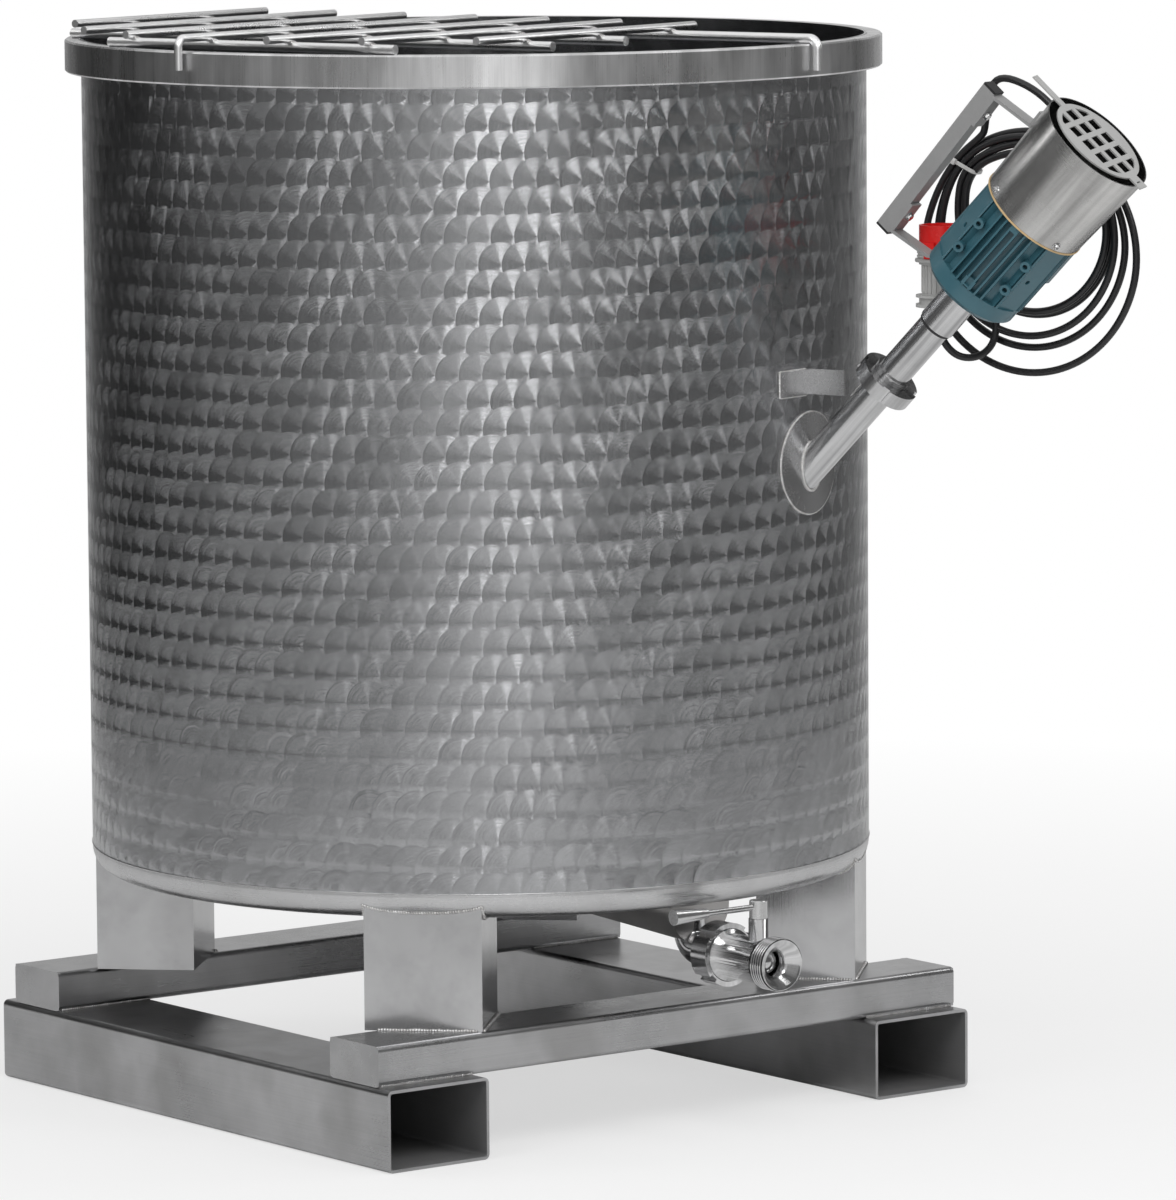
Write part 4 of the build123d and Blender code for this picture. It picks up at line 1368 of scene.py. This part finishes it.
@dataclass
class Welds:
    """The weld beads of the tank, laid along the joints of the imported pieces. Millimetres."""

    axis: Vector
    mixer: MixerPlace
    tree: GeoTree
    metal: Material
    pad_r: float = 62.5
    pad_rise: float = 7.0
    pad_thick: float = 3.0
    sleeve_r: float = 20.5
    strap_side: float = -64.6
    strap_rise: tuple[float, float] = (91.0, 122.7)
    strap_half: float = 2.9
    leg_r: float = 419.5
    leg_half: tuple[float, float] = (63.0, 73.0)
    leg_steps: int = 32
    cross_y: float = 345.0
    cross_half: float = 46.0
    frame_top: float = 150.0
    fork_top: float = 100.0
    fork_span: tuple[float, float] = (308.0, 443.0)
    head_knuckle: float = 28.0
    head_middle: float = 314.0
    head_fall: float = math.atan(20.0 / 462.0)

    def place(self, x: float, y: float, z: float) -> Vector:
        """Return a point that is given from the tank's axis."""
        return self.axis + Vector((x, y, z)) * MM

    def bead(self, name: str, lines: list[list[Vector]], pitch: float, radius: float,
             closed: bool = False) -> None:
        """Lay one bead.

        Args:
            name: the piece's name.
            lines: the lines that it follows.
            pitch: the ripples' spacing.
            radius: the bead's radius.
            closed: whether the lines are rings.
        """
        mesh = self.tree.grow(name, line_mesh(lines, closed), {"Pitch": pitch * MM, "Radius": radius * MM})
        wear(plain_object(name, mesh, self.metal, 60), "stainless")

    def on_wall(self, across: float, rise: float, proud: float) -> Vector:
        """Return a point just off the wall, seen along the mixer's bearing."""
        out = math.sqrt((TANK_RADIUS + proud) ** 2 - across ** 2) - TANK_RADIUS
        return self.mixer.beside(across, out, self.mixer.height + rise)

    def sleeve_point(self, angle: float) -> Vector:
        """Find the point where the sleeve's surface meets the pad.

        Args:
            angle: the direction round the sleeve, in radians.

        Returns:
            The point in metres.
        """
        x, y = self.sleeve_r * math.cos(angle), self.sleeve_r * math.sin(angle)
        low, high = -80.0, 120.0
        for _ in range(40):
            middle = (low + high) / 2
            point = self.mixer.at(x, y, middle) - self.axis
            if math.hypot(point.x, point.y) > (TANK_RADIUS + self.pad_thick) * MM:
                high = middle
            else:
                low = middle
        return self.mixer.at(x * 1.03, y * 1.03, (low + high) / 2)

    def head_height(self, radius: float) -> float:
        """Find the height of the bottom head's outside.

        Args:
            radius: the distance from the axis.

        Returns:
            The height above the floor.
        """
        edge = TANK_RADIUS - self.head_knuckle
        tangent = edge + self.head_knuckle * math.sin(self.head_fall)
        if radius > tangent:
            reach = min(radius, TANK_RADIUS - 1.0) - edge
            return self.head_middle - math.sqrt(max(self.head_knuckle ** 2 - reach ** 2, 0.0))
        fall = (tangent - radius) * math.tan(self.head_fall)
        return self.head_middle - self.head_knuckle * math.cos(self.head_fall) - fall

    def leg_outline(self) -> list[tuple[float, float]]:
        """Lay points round a leg.

        Returns:
            Their places outwards and along the tank's edge.
        """
        half_out, half_side = self.leg_half
        corners = [(out * half_out, side * half_side) for out, side in ((1, -1), (1, 1), (-1, 1), (-1, -1))]
        points = []
        for (x0, y0), (x1, y1) in zip(corners, corners[1:] + corners[:1]):
            shares = [i / self.leg_steps for i in range(self.leg_steps)]
            points += [(x0 + (x1 - x0) * share, y0 + (y1 - y0) * share) for share in shares]
        return points

    def legs(self) -> None:
        """Weld the legs to the frame and to the head."""
        foot_lines: list[list[Vector]] = []
        head_lines: list[list[Vector]] = []
        for quarter in range(4):
            bearing = math.radians(45 + 90 * quarter)
            top, line = [], []
            for out, side in self.leg_outline():
                x = (self.leg_r + out) * math.cos(bearing) - side * math.sin(bearing)
                y = (self.leg_r + out) * math.sin(bearing) + side * math.cos(bearing)
                top.append(self.place(x, y, self.head_height(math.hypot(x, y)) - 0.8))
                if abs(abs(y) - self.cross_y) < self.cross_half - 3:
                    line.append(self.place(x, y, self.frame_top + 0.4))
                elif line:
                    foot_lines.append(line)
                    line = []
            if line:
                foot_lines.append(line)
            head_lines.append(top)
        self.bead("weld_leg_feet", [line for line in foot_lines if len(line) > 2], pitch=3.4, radius=2.6)
        self.bead("weld_leg_tops", head_lines, pitch=3.2, radius=2.0, closed=True)

    def mixer_joints(self) -> None:
        """Weld the pad, the sleeve and the strap."""
        turns = [math.tau * i / 96 for i in range(96)]
        pad = [self.on_wall(self.pad_r * math.cos(t), self.pad_rise + self.pad_r * math.sin(t), 0.9)
               for t in turns]
        self.bead("weld_pad", [pad], pitch=1.7, radius=1.5, closed=True)
        sleeve = [self.sleeve_point(t) for t in turns]
        self.bead("weld_sleeve", [sleeve], pitch=1.7, radius=1.8, closed=True)
        low, high = self.strap_rise
        end = [self.on_wall(self.strap_side, low + 0.6 + i, 1.2) for i in range(31)]
        edges = [[self.on_wall(self.strap_side + 2.6 + i, rise, 1.0) for i in range(0, 54, 3)]
                 for rise in (low, high)]
        far_end = [[self.mixer.at(side, self.sleeve_r + 0.1, s) for s in range(109, 142, 3)]
                   for side in (-self.strap_half, self.strap_half)]
        self.bead("weld_strap", [end, *edges, *far_end], pitch=1.8, radius=1.4)

    def frame_joints(self) -> None:
        """Weld the cross tubes to the fork tubes."""
        low, high = self.fork_span
        steps = [low + (high - low) * i / 20 for i in range(21)]
        lines = []
        for end, edge, side in product((-1, 1), repeat=3):
            y = end * self.cross_y + edge * (self.cross_half + 0.6)
            lines.append([self.place(side * x, y, self.fork_top + 1.6) for x in steps])
        self.bead("weld_frame", lines, pitch=3.2, radius=2.4)

    def build(self) -> None:
        """Lay all the beads."""
        self.mixer_joints()
        self.legs()
        self.frame_joints()


@dataclass
class Grille:
    """The tack welds at the grille's crossings. Millimetres."""

    welds: Welds
    turn: float = math.radians(17.0)
    first: float = -300.0
    pitch: float = 120.0
    bars: int = 7
    rods: tuple[float, ...] = (-450.0, -300.0, -150.0, 0.0)
    height: float = 1338.6
    rest_r: float = 500.0
    edge: float = 78.0
    lean: float = 0.09
    tack_off: float = 4.6
    tack_steps: tuple[float, ...] = (-4.0, -2.0, 0.0, 2.0, 4.0)

    def build(self) -> None:
        """Lay a tack on each side of each bar where it crosses a rod."""
        across = Vector((math.cos(self.turn), math.sin(self.turn), 0))
        along = Vector((-across.y, across.x, 0))
        lines = []
        for number, off, side in product(range(self.bars), self.rods, (-1, 1)):
            run = self.first + number * self.pitch
            if off < -math.sqrt(self.rest_r ** 2 - run ** 2) or off > self.edge + self.lean * run:
                continue
            spots = [across * (off + step) + along * (run + side * self.tack_off) for step in self.tack_steps]
            lines.append([self.welds.place(spot.x, spot.y, self.height) for spot in spots])
        self.welds.bead("weld_grille", lines, pitch=1.6, radius=1.3)


@dataclass
class ValveMouth:
    """The drain valve's mouth: its body turned down there, and its round thread. Millimetres."""

    axis: Vector
    tree: GeoTree
    steel: Material
    outside: float = 32.5
    root: float = 30.8
    root_from: float = -580.0
    bore: float = 19.0
    seat: float = 26.2
    seat_from: float = -606.0
    slack: float = 0.12
    thread_from: float = -605.2
    thread_r: float = 31.0
    pitch: float = 4.23
    turns: float = 5.2
    steps: int = 56
    ridge: float = 1.55

    def body(self) -> None:
        """Replace the valve's body by a copy with a coned seat, turned down to the root of its thread."""
        shape = bmesh.new()
        shape.from_mesh(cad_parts["valve_body"].data)
        middle = drain_middle(self.axis)
        bmesh.ops.remove_doubles(shape, verts=shape.verts, dist=1e-6)
        cuts = ((self.outside, self.root, self.root_from), (self.bore, self.seat, self.seat_from))
        for vert in shape.verts:
            spot = (vert.co - middle) / MM
            reach = math.hypot(spot.x, spot.z)
            for old, new, start in cuts:
                if abs(reach - old) < self.slack and spot.y < start:
                    share = new / reach
                    vert.co = middle + Vector((spot.x * share, spot.y, spot.z * share)) * MM
        name = "valve_body_threaded"
        made = plain_object(name, settled(shape, name), self.steel, 30)
        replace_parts(wear(made, "stainless"), "valve_body")

    def thread(self) -> None:
        """Sweep the thread's ridge."""
        helix = []
        for step in range(int(self.turns * self.steps)):
            angle = math.tau * step / self.steps
            along = self.thread_from + self.pitch * step / self.steps
            spot = Vector((self.thread_r * math.cos(angle), along, self.thread_r * math.sin(angle)))
            helix.append(drain_middle(self.axis) + spot * MM)
        mesh = self.tree.grow("valve_thread", line_mesh([helix]), {"Ridge": self.ridge * MM})
        wear(plain_object("valve_thread", mesh, self.steel, 60), "stainless")


@dataclass
class ShellSeam:
    """The narrow weld above the shell's bottom head. Millimetres."""

    axis: Vector
    tree: GeoTree
    steel: Material
    height: float = 318.0
    ridge: float = 0.9
    steps: int = 360

    def build(self) -> None:
        """Sweep the seam round the shell."""
        foot = self.axis + UP * self.height * MM
        line = [foot + out * TANK_RADIUS * MM for out in circle(self.steps)]
        mesh = self.tree.grow("shell_seam", line_mesh([line], True), {"Ridge": self.ridge * MM})
        wear(plain_object("shell_seam", mesh, self.steel, 60), "stainless")


@dataclass
class Screws:
    """The cowl's four screws and the handle's two bolts, with their washers. Millimetres."""

    mixer: MixerPlace
    steel: Material
    cowl_r: float = 68.7
    cowl_along: float = 461.0
    cowl_turns: tuple[float, ...] = (149.8, 240.8, 330.8, 59.8)
    bolts: tuple[tuple[float, float], ...] = ((118.6, 322.8), (128.2, 487.9))
    screw_washer: Outline = ((0, -0.8), (5.4, -0.8), (5.4, 0.5), (5.0, 0.9), (0, 0.9))
    screw_head: Outline = ((0, 0.6), (3.9, 0.6), (4.1, 1.2), (3.9, 2.6), (3.2, 3.6), (2.0, 4.0), (1.7, 3.9),
                           (1.6, 2.4), (0, 2.3))
    bolt_washer: Outline = ((0, -0.6), (6.2, -0.6), (6.2, 0.7), (5.8, 1.1), (0, 1.1))
    bolt_head: Outline = ((0, 0.9), (5.0, 0.9), (5.2, 1.2), (5.2, 3.8), (4.5, 4.5), (0, 4.6))

    def build(self) -> None:
        """Turn all the heads and washers, as one piece."""
        parts = []
        for degrees in self.cowl_turns:
            x, y = math.cos(math.radians(degrees)), math.sin(math.radians(degrees))
            place = facing(self.mixer.at(self.cowl_r * x, self.cowl_r * y, self.cowl_along),
                           self.mixer.side * x + self.mixer.up * y)
            parts += [lathe("screw", outline, place, 32) for outline in (self.screw_washer, self.screw_head)]
        for across, along in self.bolts:
            place = facing(self.mixer.at(0, across, along), -self.mixer.up)
            parts += [lathe("washer", self.bolt_washer, place, 32), lathe("bolt", self.bolt_head, place, 6)]
        wear(plain_object("screws", merged("screws", parts), self.steel, 30), "stainless")


@dataclass
class PlugCollar:
    """The grey ribbed collar that holds the plug's red shroud. Millimetres."""

    mixer: MixerPlace
    plastic: Material
    ring: Outline = ((28.8, 72.0), (33.5, 72.0), (34.0, 72.6), (34.0, 75.6), (33.4, 76.2), (30.6, 76.6))
    rib: Outline = ((30.6, 0.0), (31.6, 0.5), (31.6, 2.3), (30.6, 2.8))
    lip: Outline = ((30.4, 91.5), (29.2, 92.0), (29.15, 84.0))
    ribs: tuple[float, ...] = (77.6, 82.2, 86.8)
    grip: Outline = ((0, -17.0), (1.1, -16.4), (1.3, -15.0), (1.3, 15.0), (1.1, 16.4), (0, 17.0))
    grip_r: float = 25.2
    grip_height: float = 51.0
    grips: int = 24

    def build(self) -> Object:
        """Turn the collar and the grips under it.

        Returns:
            The piece.
        """
        foot = self.mixer.beside(*PLUG_FOOT)
        ribs = tuple((radius, low + rise) for low in self.ribs for radius, rise in self.rib)
        parts = [lathe("collar", self.ring + ribs + self.lip, Matrix.Translation(foot), 72, closed=True)]
        for out in circle(self.grips):
            place = facing(foot + (out * self.grip_r + UP * self.grip_height) * MM, UP)
            parts.append(lathe("grip", self.grip, place, 12))
        made = plain_object("plug_collar", merged("plug_collar", parts), self.plastic, 35)
        return wear(made, "grey_plastic")


@dataclass
class HankTie:
    """The nylon tie round the hank: a rounded band with its lock. Millimetres."""

    mixer: MixerPlace
    nylon: Material
    middle: Triple = (112.75, 155.7, 1176.4)
    lean: tuple[float, float] = (0.436, 0.9)
    half_x: float = 11.0
    half_run: float = 20.2
    round_r: float = 7.5
    width: float = 4.8
    thick: float = 1.3
    lock: Triple = (5.0, 6.5, 7.5)
    lock_off: tuple[float, float] = (2.6, 9.0)
    lock_edge: float = 0.9

    def band(self, shape: BMesh, place: Matrix) -> None:
        """Add the band.

        Args:
            shape: what it is added to.
            place: the matrix whose X runs across the hank, Y through it and Z along its strands.
        """
        rings = []
        for corner, (sx, sy) in enumerate(((1, 1), (-1, 1), (-1, -1), (1, -1))):
            for step in range(9):
                angle = math.pi / 2 * (corner + step / 8)
                ring = []
                for out, edge in ((0.0, -0.5), (self.thick, -0.42), (self.thick, 0.42), (0.0, 0.5)):
                    reach = self.round_r + out
                    spot = Vector((sx * (self.half_x - self.round_r) + math.cos(angle) * reach,
                                   sy * (self.half_run - self.round_r) + math.sin(angle) * reach,
                                   edge * self.width))
                    ring.append(shape.verts.new(place @ (spot * MM)))
                rings.append(ring)
        for here, after in zip(rings, rings[1:] + rings[:1]):
            for i in range(4):
                shape.faces.new((here[i], after[i], after[(i + 1) % 4], here[(i + 1) % 4]))

    def build(self) -> Object:
        """Make the band and its lock.

        Returns:
            The piece.
        """
        rise, fall = self.lean
        run = UP * rise - self.mixer.outwards * fall
        strand = UP * fall + self.mixer.outwards * rise
        place = Matrix((self.mixer.side, run, strand)).transposed().to_4x4()
        place.translation = self.mixer.beside(*self.middle)
        shape = bmesh.new()
        self.band(shape, place)
        lock = bmesh.ops.create_cube(shape, size=1.0)["verts"]
        across, back = self.lock_off
        seat = place @ Matrix.Translation(Vector((-(self.half_x + across), self.half_run - back, 0)) * MM)
        scale = Matrix.Diagonal((*(size * MM for size in self.lock), 1.0))
        bmesh.ops.transform(shape, matrix=seat @ scale, verts=lock)
        edges = list({edge for vert in lock for edge in vert.link_edges})
        bmesh.ops.bevel(shape, geom=edges, offset=self.lock_edge * MM, segments=3, profile=0.5,
                        affect="EDGES")
        bmesh.ops.recalc_face_normals(shape, faces=shape.faces)
        band = wear(plain_object("hank_tie", settled(shape, "hank_tie"), self.nylon), "tie")
        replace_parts(band, "cable_tie")
        return band


def note_bounds(name: str, store: dict) -> None:
    """Keep the shown object's box under a name."""
    low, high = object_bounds()
    store[name] = [list(low), list(high)]


def main() -> None:
    """Build the scene."""
    logging.basicConfig(level=logging.INFO, format="%(name)s: %(message)s")
    boxes: dict = {}
    note_bounds("cad", boxes)
    axis = tank_axis()
    mixer = MixerPlace(axis)
    Studio(axis).build()
    finishes = Finishes(axis, mixer).build()
    on_cable = [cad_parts["plug_body"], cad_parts["plug_shroud"],
                PlugCollar(mixer, finishes["grey_plug_plastic"]).build(),
                HankTie(mixer, finishes["tie_nylon"]).build()]
    Cable(mixer).build(finishes["cable_sheath"], finishes["black_rubber"], on_cable)
    dress_nodes(finishes)
    welds = Welds(axis, mixer, bead_tree(finishes["weld_metal"]), finishes["weld_metal"])
    welds.build()
    Grille(welds).build()
    ridge = thread_tree(finishes["pipe_steel"])
    valve = ValveMouth(axis, ridge, finishes["pipe_steel"])
    valve.body()
    valve.thread()
    ShellSeam(axis, ridge, finishes["head_steel"]).build()
    Screws(mixer, finishes["bar_steel"]).build()
    note_bounds("visual", boxes)


if __name__ == "__main__":
    main()
